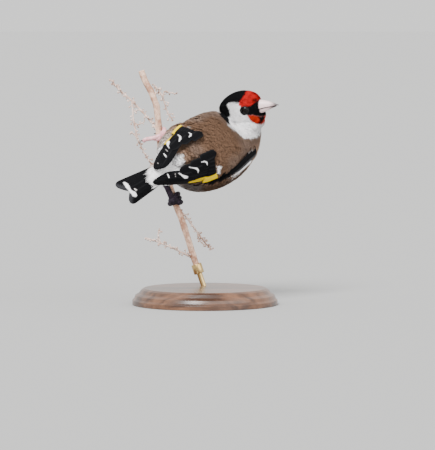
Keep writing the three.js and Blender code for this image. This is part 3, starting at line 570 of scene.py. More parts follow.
BLACK = np.array([0.0026, 0.0026, 0.0033])
CHARCOAL = np.array([0.022, 0.022, 0.024])
WHITE = np.array([0.92, 0.91, 0.92])
SOFT_WHITE = np.array([0.62, 0.58, 0.56])
WARM_WHITE = np.array([0.78, 0.66, 0.56])
RED = np.array([0.50, 0.010, 0.010])
DARK_RED = np.array([0.17, 0.004, 0.004])
ORANGE = np.array([0.54, 0.028, 0.004])
YELLOW = np.array([0.76, 0.53, 0.0005])
BROWN = np.array([0.128, 0.073, 0.045])
TAN = np.array([0.172, 0.117, 0.090])
DARK_BROWN = np.array([0.065, 0.040, 0.026])
BUFF = np.array([0.27, 0.175, 0.125])
GREY = np.array([0.20, 0.185, 0.18])
CHESTNUT = np.array([0.17, 0.085, 0.048])

# Edges of the markings. On the head: along its line, height above it, and distance out from its middle.
RED_LOW = [[2.2, 4.2], [2.6, 3.3], [3.5, 2.3], [6.4, 1.9], [8.7, 2.2], [10.6, 3.4], [13, 4.4]]
RED_REAR = [[2.0, 2.2], [3.8, 2.4], [6.2, 3.8], [8.1, 5.2], [9.2, 5.6], [12, 6.0]]
LORES_LOW = [[3.0, -1.4], [5.2, -2.4], [7.0, -2.8], [9.2, -3.2], [10.6, -4.2], [13, -5.4]]
MALAR_REAR = [[-10.5, 10.0], [-9.1, 8.9], [-7.4, 7.7], [-5.6, 7.0], [-4.5, 6.6], [-2.5, 6.1], [-1.0, 5.8]]
CROWN_LOW = [[-13, 0.6], [-6.6, 2.4], [-4.9, 3.8], [-3.4, 4.8], [-1.2, 5.3], [0.9, 5.1], [2.7, 4.6],
             [6, 4.6]]
CHIN_HALF = [[-9.6, 0.3], [-8, 0.8], [-5.5, 1.5], [-4, 2.2]]
NAPE_BAND = [[-8.2, -4.2, 4.2, 4.3], [-7.2, -5.6, 1.8, 3.9], [-6.6, -7.0, -0.5, 3.7],
             [-5.5, -9.9, -1.9, 2.6], [-3.8, -12.6, -3.3, 2.3], [-2.4, -15.2, -4.6, 1.2],
             [-1.5, -16.4, -5.3, 0.5]]
# The wing's leading edge over the breast: station, angle in degrees from the middle of the back, and half
# the band's width
WING_LINE = [[-24, 92, 0.5], [-20.5, 84, 0.8], [-16.5, 78, 1.2], [-10, 72, 1.6], [-5, 67.5, 2.1],
             [0, 63.5, 2.7], [4, 58.5, 3.1], [7, 55, 3.1], [10, 52, 2.9], [14, 49.5, 2.3], [17.5, 49, 1.6],
             [21, 49.5, 0.7]]
YELLOW_LINES = {
    "right": [[-31, 78, 0.2], [-29.5, 75.5, 1.1], [-27, 73.5, 1.7], [-24, 72.5, 2.0], [-21, 71.5, 2.1],
              [-18.5, 70.5, 2.1], [-16.2, 67, 1.9], [-13.6, 62.5, 1.8], [-11.6, 60, 1.8]],
    "left": [[-32.5, 57, 0.2], [-31, 60, 0.9], [-28, 63.5, 1.4], [-25.2, 66.5, 1.6], [-20.3, 69, 1.8],
             [-16.5, 67, 1.7], [-13.7, 63, 1.4], [-11.6, 60, 1.0]],
}
# White marks seen from above the back: strokes of station, distance to the left, and half width
WING_MARKS = {
    "right": [
        [[-23.6, -7.4, 0.1], [-21.6, -8, 0.2], [-20.4, -9.1, 0.32], [-20.5, -10.2, 0.12]],
        [[-31.4, -6.5, 0.09], [-29.1, -7.9, 0.17], [-27.2, -9.1, 0.4], [-26.5, -10.2, 0.36],
         [-26.6, -11.1, 0.1]],
        [[-38.2, -6.4, 0.15], [-36.8, -8.2, 0.34], [-35.2, -9.5, 0.59], [-33.8, -10.2, 0.43]],
        [[-40.2, -5.2, 0.08], [-40.5, -6.5, 0.14], [-40.9, -7.3, 0.08]],
        [[-44.8, -3.9, 0.22], [-44.7, -5.7, 0.31]],
        [[-52.4, -1.9, 0.12], [-52.6, -2.9, 0.19]],
    ],
    "left": [
        [[-18.6, 9.2, 0.093], [-18.4, 8, 0.25], [-19.2, 7.4, 0.31], [-20.9, 7, 0.093]],
        [[-22.3, 12.2, 0.093], [-23.5, 10, 0.31], [-24.9, 8.9, 0.37], [-26.8, 8, 0.12]],
        [[-29.4, 11.6, 0.3], [-30.4, 11.1, 0.5], [-31.7, 10.4, 0.45], [-33.1, 9.3, 0.2],
         [-33.9, 7.9, 0.08]],
        [[-35.4, 9, 0.093], [-35.8, 7.2, 0.12]],
        [[-38.3, 7.4, 0.12], [-38.7, 5.9, 0.31], [-38.7, 4.9, 0.25]],
        [[-45.1, 5.1, 0.093], [-45.1, 4.3, 0.15]],
    ],
}
TAIL_MARK = [[-72.3, 4.2, 0.65], [-72.5, 3.0, 0.95], [-73.0, 1.7, 0.95], [-73.2, 0.3, 0.8],
             [-73.3, -1.0, 0.6], [-72.8, -2.3, 0.95], [-72.1, -3.6, 1.3], [-71.5, -4.5, 0.9]]
TAIL_FLECK = [[-69.4, -1.2, 0.2], [-69.0, -2.2, 0.35], [-69.1, -3.0, 0.15]]


def level(rows, value, column=1):
    """A column of an edge's rows read along its first, in straight steps."""
    rows = np.asarray(rows, float)
    return np.interp(value, rows[:, 0], rows[:, column])


def blend(base, colour, share):
    """base where share is 0 and colour where it is 1."""
    return base + (colour - base) * np.asarray(share)[:, None]


def from_path(points, path):
    """How far outside a tapering band each point is: its distance from the path less the half width."""
    path = np.asarray(path, float)
    best = np.full(len(points), np.inf)
    for a, b in zip(path[:-1], path[1:]):
        way = b[:3] - a[:3]
        s = np.clip(((points - a[:3]) @ way) / way.dot(way), 0, 1)
        gap = np.linalg.norm(points - a[:3] - s[:, None] * way, axis=1) - (a[3] + (b[3] - a[3]) * s)
        best = np.minimum(best, gap)
    return best


def stroke(stations, out_by, line, stretch=1.0):
    """Share of a mark at places seen from above: inside its tapering line, with a narrow soft edge. Stretch
    lengthens the line's width along the body."""
    places = np.column_stack([stations / stretch, out_by, 0 * stations])
    path = np.array([[x / stretch, y, 0.0, half] for x, y, half in line])
    return ease(0.1, -0.14, from_path(places, path))


def trunk_colour(b, stir):
    """Brown back, buff and brown flanks, white belly and rump, with a pale fringe along the wing's line,
    and painted shade that darkens the flanks below the wings.
    """
    bx, by, bz = b[:, 0], b[:, 1], b[:, 2]
    angle = np.degrees(np.arctan2(np.abs(by), bz)) + 3 * stir
    on_left = ease(-1, 1, by)
    colour = np.tile(BROWN, (len(b), 1))
    colour = blend(colour, TAN, 0.8 * ease(4, 13, bx) + 0.7 * ease(-13, -20, bx) * ease(4, 9, bx + 30))
    colour = blend(colour, TAN, 0.7 * ease(34, 50, angle) * ease(-8, -2, bx))
    colour = blend(colour, DARK_BROWN,
                   0.35 * ease(46, 56, angle) * ease(0, 4, bx) * ease(16, 12, bx) * (1 - on_left))
    colour = blend(colour, BUFF * 1.3, 0.85 * ease(14, 19, bx) * ease(42, 58, angle) * (1 - on_left))
    # Painted shade: the flank's own brown made darker just below the wings' lower edge.
    colour = blend(colour, DARK_BROWN, 0.7 * ease(80, 90, angle) * ease(8, 0, bx) * ease(-26, -18, bx))
    colour = blend(colour, CHESTNUT, 0.25 * ease(94, 100, angle) * ease(112, 104, angle) * ease(2, -4, bx))
    colour = blend(colour, GREY, 0.7 * ease(-12, -19, bx) * ease(95, 108, angle))
    beside_wing = ease(-7, -12, bx) * ease(58, 66, angle) * on_left
    colour = blend(colour, BUFF, 0.8 * beside_wing)
    colour = blend(colour, SOFT_WHITE, 0.45 * beside_wing * ease(-15, -25, bx))
    colour = blend(colour, GREY * 0.7, 0.7 * ease(-15, -21, bx) * ease(84, 94, angle) * (1 - on_left))
    colour = blend(colour, BUFF * 1.3, 0.8 * ease(98, 122, angle) * (0.3 + 0.7 * on_left))
    colour = blend(colour, WHITE * 0.85, ease(118, 146, angle))
    line, half = level(WING_LINE, bx), level(WING_LINE, bx, 2)
    above = (angle - line) * level(TRUNK, bx, 3) / RADIAN
    fringe = ease(half - 0.3, half + 0.3, above) * ease(half + 5.0, half + 3.4, above) * ease(-0.5, 1.5, bx)
    colour = blend(colour, SOFT_WHITE, 0.9 * fringe * ease(22, 19, bx) * (1 - on_left))
    band = ease(half + 0.15, half - 0.25, np.abs(above)) * ease(-1, -4, bx) * ease(-26, -24, bx)
    colour = blend(colour, BLACK, band * (1 - on_left))
    patch = ((bx + 12.0) / (1.6 + 0.4 * stir))**2 + ((angle - 55.5) / 8.4)**2
    colour = blend(colour, WHITE, ease(1.25, 0.75, patch) * (1 - 0.6 * on_left))
    colour = blend(colour, BUFF, 0.7 * ease(-24.5, -27.5, bx - 0.8 * stir) * ease(70, 50, angle))
    return blend(colour, WHITE, ease(-27.4, -30.0, bx - 0.8 * stir))


def head_colour(h, stir):
    """Red forehead and malar, black crown, lores, nape band and chin line, and white cheeks, with painted
    shade as darker red above the bill's base.
    """
    hx, side, hz = h[:, 0] + 0.35 * stir, np.abs(h[:, 1]), h[:, 2] + 0.25 * stir
    colour = np.tile(WHITE, (len(h), 1))
    warm = ((hx - 3.0) / 4.5)**2 + ((side - 11.5) / 4.5)**2 + ((hz + 6.0) / 3.5)**2
    colour = blend(colour, WARM_WHITE, 0.8 * ease(1.2, 0.2, warm))
    colour = blend(colour, BLACK, ease(-0.4, 0.3, hz - level(CROWN_LOW, hx)) * ease(7.5, 6.5, hx))
    lores = ease(2.9, 3.5, hx) * ease(-0.35, 0.25, hz - level(LORES_LOW, hx)) * ease(4.6, 4.0, hz)
    colour = blend(colour, BLACK, lores)
    red = ease(-0.35, 0.35, hx - level(RED_REAR, hz)) * ease(-0.35, 0.35, hz - level(RED_LOW, hx))
    # Painted shade: the red made darker where the forehead meets the top of the bill.
    painted_shade_above_bill = ease(8.4, 9.6, hx) * ease(3.0, 4.4, hz) * ease(6.4, 5.2, hz)
    shade = blend(np.tile(RED, (len(h), 1)), DARK_RED, 0.75 * ease(-0.1, 0.8, stir) + 0.5 * painted_shade_above_bill)
    colour = colour + (shade - colour) * red[:, None]
    malar = ease(-0.3, 0.4, hx - level(MALAR_REAR, hz)) * ease(0.3, -0.3, hz - level(LORES_LOW, hx))
    malar = malar * ease(-10.3, -9.3, hz)
    shade = blend(np.tile(ORANGE, (len(h), 1)), RED, 0.6 * ease(0.0, 0.8, stir))
    colour = colour + (shade - colour) * malar[:, None]
    chin = malar * ease(0.35, -0.35, np.abs(h[:, 1] + 1.5) - level(CHIN_HALF, hz))
    return blend(colour, BLACK, chin)


def plumage(points):
    """The coat's colour at places on the bird, from its regions in the frames of body and head."""
    b = inward(BODY, points)
    h = inward(SKULL, points)
    stir = ripple(points, 0.9) + 0.5 * ripple(points, 0.4, 2.0)
    far = np.linalg.norm(h, axis=1)
    mirrored = h.copy()
    mirrored[:, 1] = -np.abs(h[:, 1])
    plane = 0.903 * h[:, 0] + 0.429 * mirrored[:, 1] + 0.023 * h[:, 2] + 9.06
    colour = trunk_colour(b, stir)
    nape = ease(13.5, 10.5, far) * ease(0.5, -1.5, plane)
    colour = blend(colour, SOFT_WHITE, 0.75 * nape)
    colour = blend(colour, WHITE, ease(19.6, 18.4, far + 0.8 * stir) * ease(-0.6, 0.8, plane))
    behind = ease(12.9, 12.1, far) * ease(-1.5, -0.5, plane + ease(2.5, 4.5, h[:, 2]) * 12)
    ahead = ease(5.0, 7.0, h[:, 0]) * ease(-12.5, -11.0, h[:, 2])
    on_head = np.maximum(behind, ahead)
    colour = colour + (head_colour(h, stir) - colour) * on_head[:, None]
    return blend(colour, BLACK, ease(0.35, -0.35, from_path(mirrored, NAPE_BAND) + 0.4 * stir))


# The skin: trunk, neck, head and thighs as one form

def trunk_rings(rows, columns, inset):
    """Rings across the line of centres: centre plus side times half width times sine and up times height
    times cosine of the angle round it, less the inset."""
    keyed = np.column_stack([np.arange(len(TRUNK)), np.array(TRUNK, float)])
    t = np.linspace(0, len(TRUNK) - 1, rows)
    here = along(keyed, t)
    ahead = unit(along(keyed, t + 0.2)[:, 1:4] - along(keyed, t - 0.2)[:, 1:4])
    side = unit(np.cross([0, 0, 1], ahead))
    up = np.cross(ahead, side)
    turn = np.linspace(0, 2 * np.pi, columns, endpoint=False)
    rise = np.where(np.cos(turn) > 0, here[:, 5:6], here[:, 6:7])
    half = np.maximum(here[:, 4:5] - inset, 0.6)
    rise = np.maximum(rise - inset, 0.6)
    rings = (here[:, None, 1:4] + side[:, None] * (half * np.sin(turn))[..., None]
             + up[:, None] * (rise * np.cos(turn))[..., None])
    return outward(BODY, rings)


def head_rings(rows, columns, inset):
    """Rings across the head's line, closer together at both ends, each an ellipse less the inset."""
    share = (1 - np.cos(np.linspace(0, np.pi, rows))) / 2
    x = HEAD[0][0] + inset + (HEAD[-1][0] - HEAD[0][0] - 2 * inset) * share
    here = along(HEAD, x)
    turn = np.linspace(0, 2 * np.pi, columns, endpoint=False)
    rise = np.where(np.cos(turn) > 0, here[:, 3:4], here[:, 4:5])
    half = np.maximum(here[:, 2:3] - inset, 0.3)
    rise = np.maximum(rise - inset, 0.3)
    rings = np.stack([np.broadcast_to(x[:, None], (rows, columns)), half * np.sin(turn),
                      here[:, 1:2] + rise * np.cos(turn)], axis=-1)
    return outward(SKULL, rings)


def thigh_line(leg, count):
    """Places down the middle of a thigh: hip times one less the share plus heel times the share."""
    share = np.linspace(0, 1, count)[:, None]
    return np.array(leg["hip"]) * (1 - share) + np.array(leg["heel"]) * share


def remeshed(mesh, voxel, smooth_rounds):
    """The union of a mesh's closed shells as one even skin, by voxel remesh and some smoothing."""
    made = bpy.data.objects.new("fused", mesh)
    bpy.context.scene.collection.objects.link(made)
    cut = made.modifiers.new("fuse", "REMESH")
    cut.mode = "VOXEL"
    cut.voxel_size = voxel
    soften = made.modifiers.new("soften", "SMOOTH")
    soften.factor = 0.5
    soften.iterations = smooth_rounds
    depsgraph = bpy.context.evaluated_depsgraph_get()
    result = bpy.data.meshes.new_from_object(made.evaluated_get(depsgraph))
    bpy.data.objects.remove(made)
    return result


def mesh_points(mesh):
    """A mesh's points in millimetres and its points' normals, as arrays."""
    points = np.zeros(len(mesh.vertices) * 3, np.float32)
    mesh.vertices.foreach_get("co", points)
    normals = np.zeros(len(mesh.vertices) * 3, np.float32)
    mesh.vertex_normals.foreach_get("vector", normals)
    return points.reshape(-1, 3).astype(float) / METRE, normals.reshape(-1, 3).astype(float)


def make_skin():
    """Trunk, head and thighs fused into one skin."""
    shells = Parts()
    shells.add(*closed_tube(trunk_rings(60, 64, BODY_COAT)))
    shells.add(*closed_tube(head_rings(40, 56, HEAD_COAT)))
    for leg in LEGS.values():
        radii = along(np.column_stack([np.arange(5), THIGH_RADII]), np.linspace(0, 4, 12))[:, 1] - 0.7
        shells.add(*closed_tube(tube_rings(thigh_line(leg, 12), radii, 24)))
    return remeshed(shells.mesh("skin"), voxel=0.00055, smooth_rounds=6)


def swell(points):
    """How far the flesh stands out beyond its rings, mm: the left flank over the wing's edge, the rump
    between the wings and the feathering of the chin stand proud, and the throat's front is drawn in."""
    b = inward(BODY, points)
    h = inward(SKULL, points)
    angle = np.degrees(np.arctan2(b[:, 1], b[:, 2]))
    flank = (2.4 * ease(62, 74, angle) * ease(124, 100, angle) * ease(-34, -27, b[:, 0])
             * ease(-4, -11, b[:, 0]))
    rump = 1.5 * ease(32, 12, np.abs(angle)) * ease(-12, -27, b[:, 0]) * ease(-46, -40, b[:, 0])
    from_chin = np.linalg.norm((h - [10.4, 1.8, -6.8]) * [1, 1, 0.85], axis=1)
    chin = 2.0 * ease(5.2, 2.0, from_chin) * ease(7.4, 9.0, h[:, 0])
    throat = -1.3 * ease(-10.5, -13.5, h[:, 2]) * ease(-29, -24, h[:, 2]) * ease(5.5, 8.5, h[:, 0])
    return flank + rump + chin + throat


# The skin is painted darker than the coat over it, as painted shade in the gaps between the feathers.
SKIN_SHADE = 0.8  # the skin's tone beside that of the coat over it
skin_mesh = make_skin()
skin_points, skin_normals = mesh_points(skin_mesh)
skin_points = skin_points + skin_normals * swell(skin_points)[:, None]
skin_mesh.vertices.foreach_set("co", (skin_points * METRE).ravel())
skin_mesh.update()
skin_points, skin_normals = mesh_points(skin_mesh)
# The skin takes the coat's colour darkened by SKIN_SHADE, which is painted shade.
set_colours(skin_mesh, "plumage", plumage(skin_points + skin_normals * 0.6) * SKIN_SHADE)
skin_mesh.polygons.foreach_set("use_smooth", np.ones(len(skin_mesh.polygons), bool))
add_piece("skin", skin_mesh, MATERIALS["plumage"],
          ["torso", "neck", "head", "thigh_left", "thigh_right"])


# The coat: small feathers over the skin

def on_thigh(points):
    """How far each point is onto a thigh, 0 to 1, and that thigh's own direction down to the heel."""
    share = np.zeros(len(points))
    way = np.zeros((len(points), 3))
    trunk = inward(BODY, points)
    here = along(TRUNK, trunk[:, 0])
    outside = np.hypot((trunk[:, 1] - here[:, 1]) / here[:, 3], (trunk[:, 2] - here[:, 2]) / here[:, 5])
    for leg in LEGS.values():
        hip, heel = np.array(leg["hip"]), np.array(leg["heel"])
        down = unit(heel - hip)
        off = points - hip
        off = off - down * (off @ down)[:, None]
        near = ease(6.0, 4.6, np.linalg.norm(off, axis=1)) * ease(1.0, 1.1, outside)
        near = near * (points[:, 2] > heel[2] - 3) * (trunk[:, 0] > -32)
        way = way + down * near[:, None]
        share = np.maximum(share, near)
    return share, way


def lie(points, normals):
    """The way the feathers lie: back from the bill, down the neck, and along the trunk to the tail."""
    h = inward(SKULL, points)
    b = inward(BODY, points)
    back = -SKULL[0][:, 0]
    down = unit(BODY[1] - SKULL[1])
    tailwards = -BODY[0][:, 0]
    far = np.linalg.norm(h, axis=1)
    to_neck = ease(6, 14, far)[:, None]
    to_trunk = ease(26, 10, b[:, 0])[:, None]
    way = back * (1 - to_neck) + down * to_neck
    way = way * (1 - to_trunk) + tailwards * to_trunk
    share, thigh_way = on_thigh(points)
    way = way * (1 - share[:, None]) + thigh_way
    way = way - normals * (way * normals).sum(axis=1, keepdims=True)
    return unit(way)


def feather_size(points):
    """Length of the coat's feathers at a place: a millimetre at the bill, longer back to the trunk."""
    h = inward(SKULL, points)
    far = np.linalg.norm(h - np.array([10.0, 0, 0]), axis=1)
    return 0.9 + 0.8 * ease(3, 12, far) + 1.8 * ease(15, 34, far)


# Where the folded wings cover the coat: station with the wing's upper and lower edge angles there, and the
# wing's front edge as station by angle
COVERED = {
    "right": [[-46, 4, 84], [-40, 12, 84], [-33, 17, 85], [-28, 15, 86], [-22, 15, 84], [-12, 17, 74],
              [-8, 19, 70]],
    "left": [[-46, 4, 44], [-36, 17, 52], [-30, 17, 64], [-25, 17, 68], [-20, 15, 68], [-15.2, 17, 62],
             [-12.7, 30, 58], [-8, 52, 56]],
}
WING_FRONT = [[16, -10.8], [21, -10.2], [25, -11.2], [30, -12.8], [38, -13.0], [46, -12.6], [54, -12.2],
              [60, -11.4], [66, -10.0], [72, -9.2]]


def hidden(points):
    """Roots that would lie under the wings or over an eye: those places keep none."""
    b = inward(BODY, points)
    h = inward(SKULL, points)
    angle = np.degrees(np.arctan2(np.abs(b[:, 1]), b[:, 2]))
    gone = np.zeros(len(points), bool)
    for side, sign in SIDES.items():
        edges = COVERED[side]
        within = (b[:, 0] < level(WING_FRONT, angle)) & (b[:, 0] > -44) & (b[:, 1] * sign > 0)
        gone |= within & (angle > level(edges, b[:, 0])) & (angle < level(edges, b[:, 0], 2))
    off = (angle - level(WING_LINE, b[:, 0])) * along(TRUNK, b[:, 0])[:, 3] / RADIAN
    half = level(WING_LINE, b[:, 0], 2)
    beyond = half * 0.6 + 1.6 * ease(-2, 1, b[:, 0])
    gone |= (b[:, 1] < 0) & (b[:, 0] >= -10) & (b[:, 0] < 19) & (off > -half * 0.7) & (off < beyond)
    from_eye = np.hypot(h[:, 0] - EYE["x"], h[:, 2] - EYE["z"])
    return gone | ((from_eye < 2.1) & (np.abs(h[:, 1]) > 5))


def scattered(mesh, spacing, seed):
    """Roots spread over a mesh: random places by area, thinned so that none is closer to an earlier one
    than its feather's length times the spacing."""
    mesh.calc_loop_triangles()
    corners = np.zeros(len(mesh.loop_triangles) * 3, np.int32)
    mesh.loop_triangles.foreach_get("vertices", corners)
    corners = corners.reshape(-1, 3)
    a, b, c = (skin_points[corners[:, i]] for i in range(3))
    area = np.linalg.norm(np.cross(b - a, c - a), axis=1) / 2
    weight = area / feather_size((a + b + c) / 3)**2
    random = np.random.default_rng(seed)
    count = int(2.6 * weight.sum() / spacing**2)
    chosen = random.choice(len(area), count, p=weight / weight.sum())
    r = np.sqrt(random.random(count))[:, None]
    s = random.random(count)[:, None]
    weights = np.concatenate([1 - r, r * (1 - s), r * s], axis=1)[:, :, None]
    points = (np.stack([a, b, c], axis=1)[chosen] * weights).sum(axis=1)
    normals = unit((skin_normals[corners][chosen] * weights).sum(axis=1))
    keep = ~hidden(points)
    points, normals = points[keep], normals[keep]
    reach = feather_size(points) * spacing
    tree = KDTree(len(points))
    for i, point in enumerate(points):
        tree.insert(point, i)
    tree.balance()
    kept = np.ones(len(points), bool)
    for i in range(len(points)):
        if kept[i]:
            kept[[j for _, j, _ in tree.find_range(points[i], reach[i]) if j > i]] = False
    return points[kept], normals[kept], random


WEDGE_FACES = np.array([[0, 2, 1], [0, 1, 4], [0, 4, 3], [1, 2, 5], [1, 5, 4], [2, 0, 3], [2, 3, 5],
                        [3, 4, 6], [4, 5, 6], [5, 3, 6]])


def tufts(points, normals, way, sizes, random, strips, width, lift):
    """Small feathers, each of several tapering wedges fanned about its root. A wedge runs from its root
    over a middle section to its tip: root plus lie times length, across times spread, and normal times
    rise, each by the share of the way."""
    count = len(points)
    across = np.cross(normals, way)
    swing = (random.random(count) - 0.5)[:, None] * 0.2
    way = unit(way + across * swing)
    across = np.cross(normals, way)
    k = np.linspace(-1, 1, strips)[None, :, None]
    fan = k + (random.random((count, strips, 1)) - 0.5) * 0.4
    whole = sizes[:, None, None]
    length = whole * (1 - 0.25 * k**2) * (0.82 + 0.36 * random.random((count, strips, 1)))
    half = whole * width / strips * 0.72
    deep = half * 0.5
    rows = []
    for s, spread, rise, taper in ((0.0, 0.3, 0.0, 0.8), (0.5, 0.85, 0.8, 1.0), (1.0, 1.0, 1.0, 0.0)):
        out_by = fan * whole * width * 0.5 * spread
        up_by = lift[:, None, None] * rise * (1 - 0.25 * k**2)
        centre = (points[:, None] + way[:, None] * (length * s) + across[:, None] * out_by
                  + normals[:, None] * up_by)
        if taper:
            rows += [centre - across[:, None] * half * taper, centre + across[:, None] * half * taper,
                     centre + normals[:, None] * deep * taper]
        else:
            rows.append(centre)
    return np.stack(rows, axis=2)


def unwrap(points):
    """A place on the skin's own unwrap: the angle round the line of trunk and head across, and the distance
    along that line upwards, the head above the trunk."""
    b = inward(BODY, points)
    h = inward(SKULL, points)
    on_head = np.linalg.norm(h, axis=1) < 12
    turn = np.where(on_head, np.arctan2(h[:, 1], -h[:, 2] + 1e-6), np.arctan2(b[:, 1], -b[:, 2] + 1e-6))
    up = np.where(on_head, 0.72 + (h[:, 0] + 12) / 26 * 0.26, (b[:, 0] + 60) / 95 * 0.68)
    return np.column_stack([0.01 + 0.98 * (turn / (2 * np.pi) + 0.5), 0.01 + 0.98 * np.clip(up, 0, 1)])


def coat_mesh(name, wedge, tint, home):
    """One joined mesh of tufts, with its colours and its own small patch of the unwrap for each tuft."""
    count, strips, corners, _ = wedge.shape
    base = (np.arange(count * strips) * corners)[:, None, None]
    mesh = mesh_from(name, wedge.reshape(-1, 3), None, (WEDGE_FACES[None] + base).reshape(-1, 3))
    set_colours(mesh, "plumage", tint.reshape(-1, 3))
    across, up = np.meshgrid(np.linspace(-1, 1, strips), np.array([-1, -1, -1, 0, 0, 0, 1.0]),
                             indexing="ij")
    patch = np.stack([across, up], axis=-1) * 0.0015
    set_uv(mesh, "OFBake", (home[:, None, None] + patch[None]).reshape(-1, 2))
    return mesh


def shaded(tint, random, strips, spread):
    """A tuft's colour by wedge and corner: darker at the root and lighter at the tip as painted shade and
    light, uneven by wedge.
    """
    vary = 1 + spread * (random.random((len(tint), strips)) - 0.5)
    # Painted shade at the root and painted light at the tip of each wedge.
    fall = np.array([0.84] * 3 + [0.98] * 3 + [1.08])
    return tint[:, None, None] * vary[:, :, None, None] * fall[None, None, :, None]


PIECE_TRIANGLES = 190000  # most triangles in one piece of the coat
COAT_SPACING = 0.28  # distance between roots, as a share of a feather's length


def make_coat():
    """The coat over the skin, in pieces from the tail forwards."""
    points, normals, random = scattered(skin_mesh, COAT_SPACING, seed=7)
    sizes = feather_size(points) * (0.88 + 0.24 * random.random(len(points)))
    h = inward(SKULL, points)
    ahead_of_eye = np.hypot(h[:, 0] - EYE["x"], h[:, 2] - EYE["z"]) - 2.0
    close = (ahead_of_eye < 2.5) & (h[:, 0] > EYE["x"]) & (np.abs(h[:, 1]) > 4.5)
    sizes = np.where(close, np.minimum(sizes, 0.5 + 0.6 * ahead_of_eye), sizes)
    head_part = ease(17, 11, np.linalg.norm(h, axis=1))
    lift = (HEAD_COAT * head_part + BODY_COAT * (1 - head_part)) * (0.85 + 0.3 * random.random(len(points)))
    way = lie(points, normals)
    strips = 6
    wedge = tufts(points, normals, way, sizes, random, strips, width=0.62, lift=lift)
    middles = points + way * sizes[:, None] * 0.5 + normals * lift[:, None]
    tint = shaded(plumage(middles), random, strips, spread=0.2)
    home = unwrap(points)
    limit = PIECE_TRIANGLES // (strips * len(WEDGE_FACES))
    order = np.argsort(inward(BODY, points)[:, 0], kind="stable")
    for number, start in enumerate(range(0, len(order), limit)):
        part = order[start:start + limit]
        name = f"coat_{number + 1}"
        mesh = coat_mesh(name, wedge[part], tint[part], home[part])
        add_piece(name, mesh, MATERIALS["plumage"])


make_coat()


# Wings and tail: flight feathers as thin curved vanes

def bed_point(side, x, angle, height):
    """A point on a folded wing's bed, by station, degrees from the middle of the back, and height."""
    here = along(WING_BED, x)
    turn = np.radians(angle)
    rise = np.where(np.cos(turn) > 0, here[..., 4], here[..., 5])
    return np.stack([x + 0 * turn, here[..., 1] + SIDES[side] * (here[..., 3] + height) * np.sin(turn),
                     here[..., 2] + (rise + height) * np.cos(turn)], axis=-1)


def bed_angle(x, distance):
    """The angle that a distance across a wing spans at a station of its bed, in degrees."""
    here = along(WING_BED, x)
    return np.degrees(2 * distance / (here[..., 3] + here[..., 4]))


def vane_outline(share, widest, narrow):
    """Half width along a feather: it widens from the root, stays even, and rounds off at the tip."""
    root = 0.5 + 0.5 * np.minimum(share / 0.3, 1)
    start = 0.6 if narrow else 0.8
    end = np.sqrt(np.maximum(1 - (np.maximum(share - start, 0) / (1 - start))**2, 0.0))
    return widest * root * np.maximum(end, 0.06)


def vane_plate(upper, lower):
    """A closed plate between an upper and a lower grid of points: both faces and a rim of quads."""
    rows, columns = upper.shape[:2]
    points = np.concatenate([upper.reshape(-1, 3), lower.reshape(-1, 3)])
    under = rows * columns
    top = grid_faces(rows, columns, False)
    i = np.arange(rows * columns).reshape(rows, columns)
    loop = np.concatenate([i[0, :-1], i[:-1, -1], i[-1, :0:-1], i[:0:-1, 0]])
    after = np.roll(loop, -1)
    rim = np.stack([loop, loop + under, after + under, after], axis=1)
    return points, np.concatenate([top[:, ::-1], top + under, rim[:, ::-1]])


def plume(kind, root, tip, widest, lift, bow=0, narrow=False):
    """One feather: root and tip as station and angle, half width, height, and how far it bows out."""
    return kind, root, tip, {"bow": bow, "widest": widest, "lift": lift, "narrow": narrow}


def leading_feathers():
    """The dark front edge of the right wing over the breast, and the white fringe beyond it."""
    feathers = []
    for i in range(9):
        first, last = 22.0 - 3.6 * i, 11.0 - 3.4 * i
        ends = level(WING_LINE, np.array([first, last, (first + last) / 2]))
        wide = level(WING_LINE, np.array([(first + last) / 2]), 2)[0]
        bow = ends[2] - (ends[0] + ends[1]) / 2
        feathers.append(plume("leading", (first, ends[0]), (last, ends[1]), wide, 0.75 + 0.09 * (8 - i),
                              bow, True))
        if 0 < i < 7:
            aside = np.degrees((wide + 0.9) / 22)
            feathers.append(plume("fringe", (first - 1, ends[0] + aside), (last - 0.5, ends[1] + aside),
                                  1.9, 0.6 + 0.07 * (8 - i), bow, True))
    return feathers


def wing_feathers(side):
    """Every feather of a folded wing, outermost and lowest first."""
    spaced = np.linspace
    wing = WINGS[side]
    outer = wing["outer"]
    roots, fan = spaced(outer, outer - 9, 7), spaced(*wing["primary_fan"], 7)
    bows = wing["bow"] * spaced(1, 0.57, 7)
    feathers = [plume("primary", (-12, roots[i]), (x, fan[i]), 2.6, 0.1 + 0.17 * i, bows[i], True)
                for i, x in enumerate(wing["primary_tips"])]
    roots = spaced(outer - 6, outer - 20, 5)
    tips = list(zip(spaced(*wing["secondary_tips"], 5), spaced(*wing["secondary_fan"], 5)))
    feathers += [plume("secondary", (-12, roots[i]), tips[i], 2.8, 1.25 + 0.13 * i, 6) for i in range(5)]
    roots = spaced(42, 25, 3)
    feathers += [plume("tertial", (-11, roots[i]), tuple(tip), 3.6, 1.9 + 0.28 * i)
                 for i, tip in enumerate(wing["tertial_tips"])]
    rows, ends = spaced(outer + 6, 33, 7), spaced(-21, -19, 7)
    feathers += [plume("covert", (-9, rows[i]), (ends[i], rows[i]), 2.6, 1.7 + 0.15 * i) for i in range(7)]
    roots, tips = spaced(outer, 33, 5), spaced(outer - 2, 33, 5)
    feathers += [plume("lesser", (-6, roots[i]), (-15.8 - 0.3 * i, tips[i]), 2.9, 2.0 + 0.16 * i)
                 for i in range(5)]
    feathers.append(plume("lesser", (-8.5, 23.5), (-18, 26), 1.3, 2.1, 0, True))
    return feathers + (leading_feathers() if side == "right" else [])


def yellow_bar(side, station, angle):
    """Share of yellow at a place on the wing: inside its tapering bar, with a narrow soft edge."""
    line = YELLOW_LINES[side]
    reach = along(WING_BED, station)
    off = np.radians(angle - level(line, station)) * (reach[:, 3] + reach[:, 4]) / 2
    ends = ease(line[0][0], line[0][0] + 0.8, station) * ease(line[-1][0] + 0.4, line[-1][0] - 0.6, station)
    return ease(0.15, -0.15, np.abs(off) - level(line, station, 2)) * ends


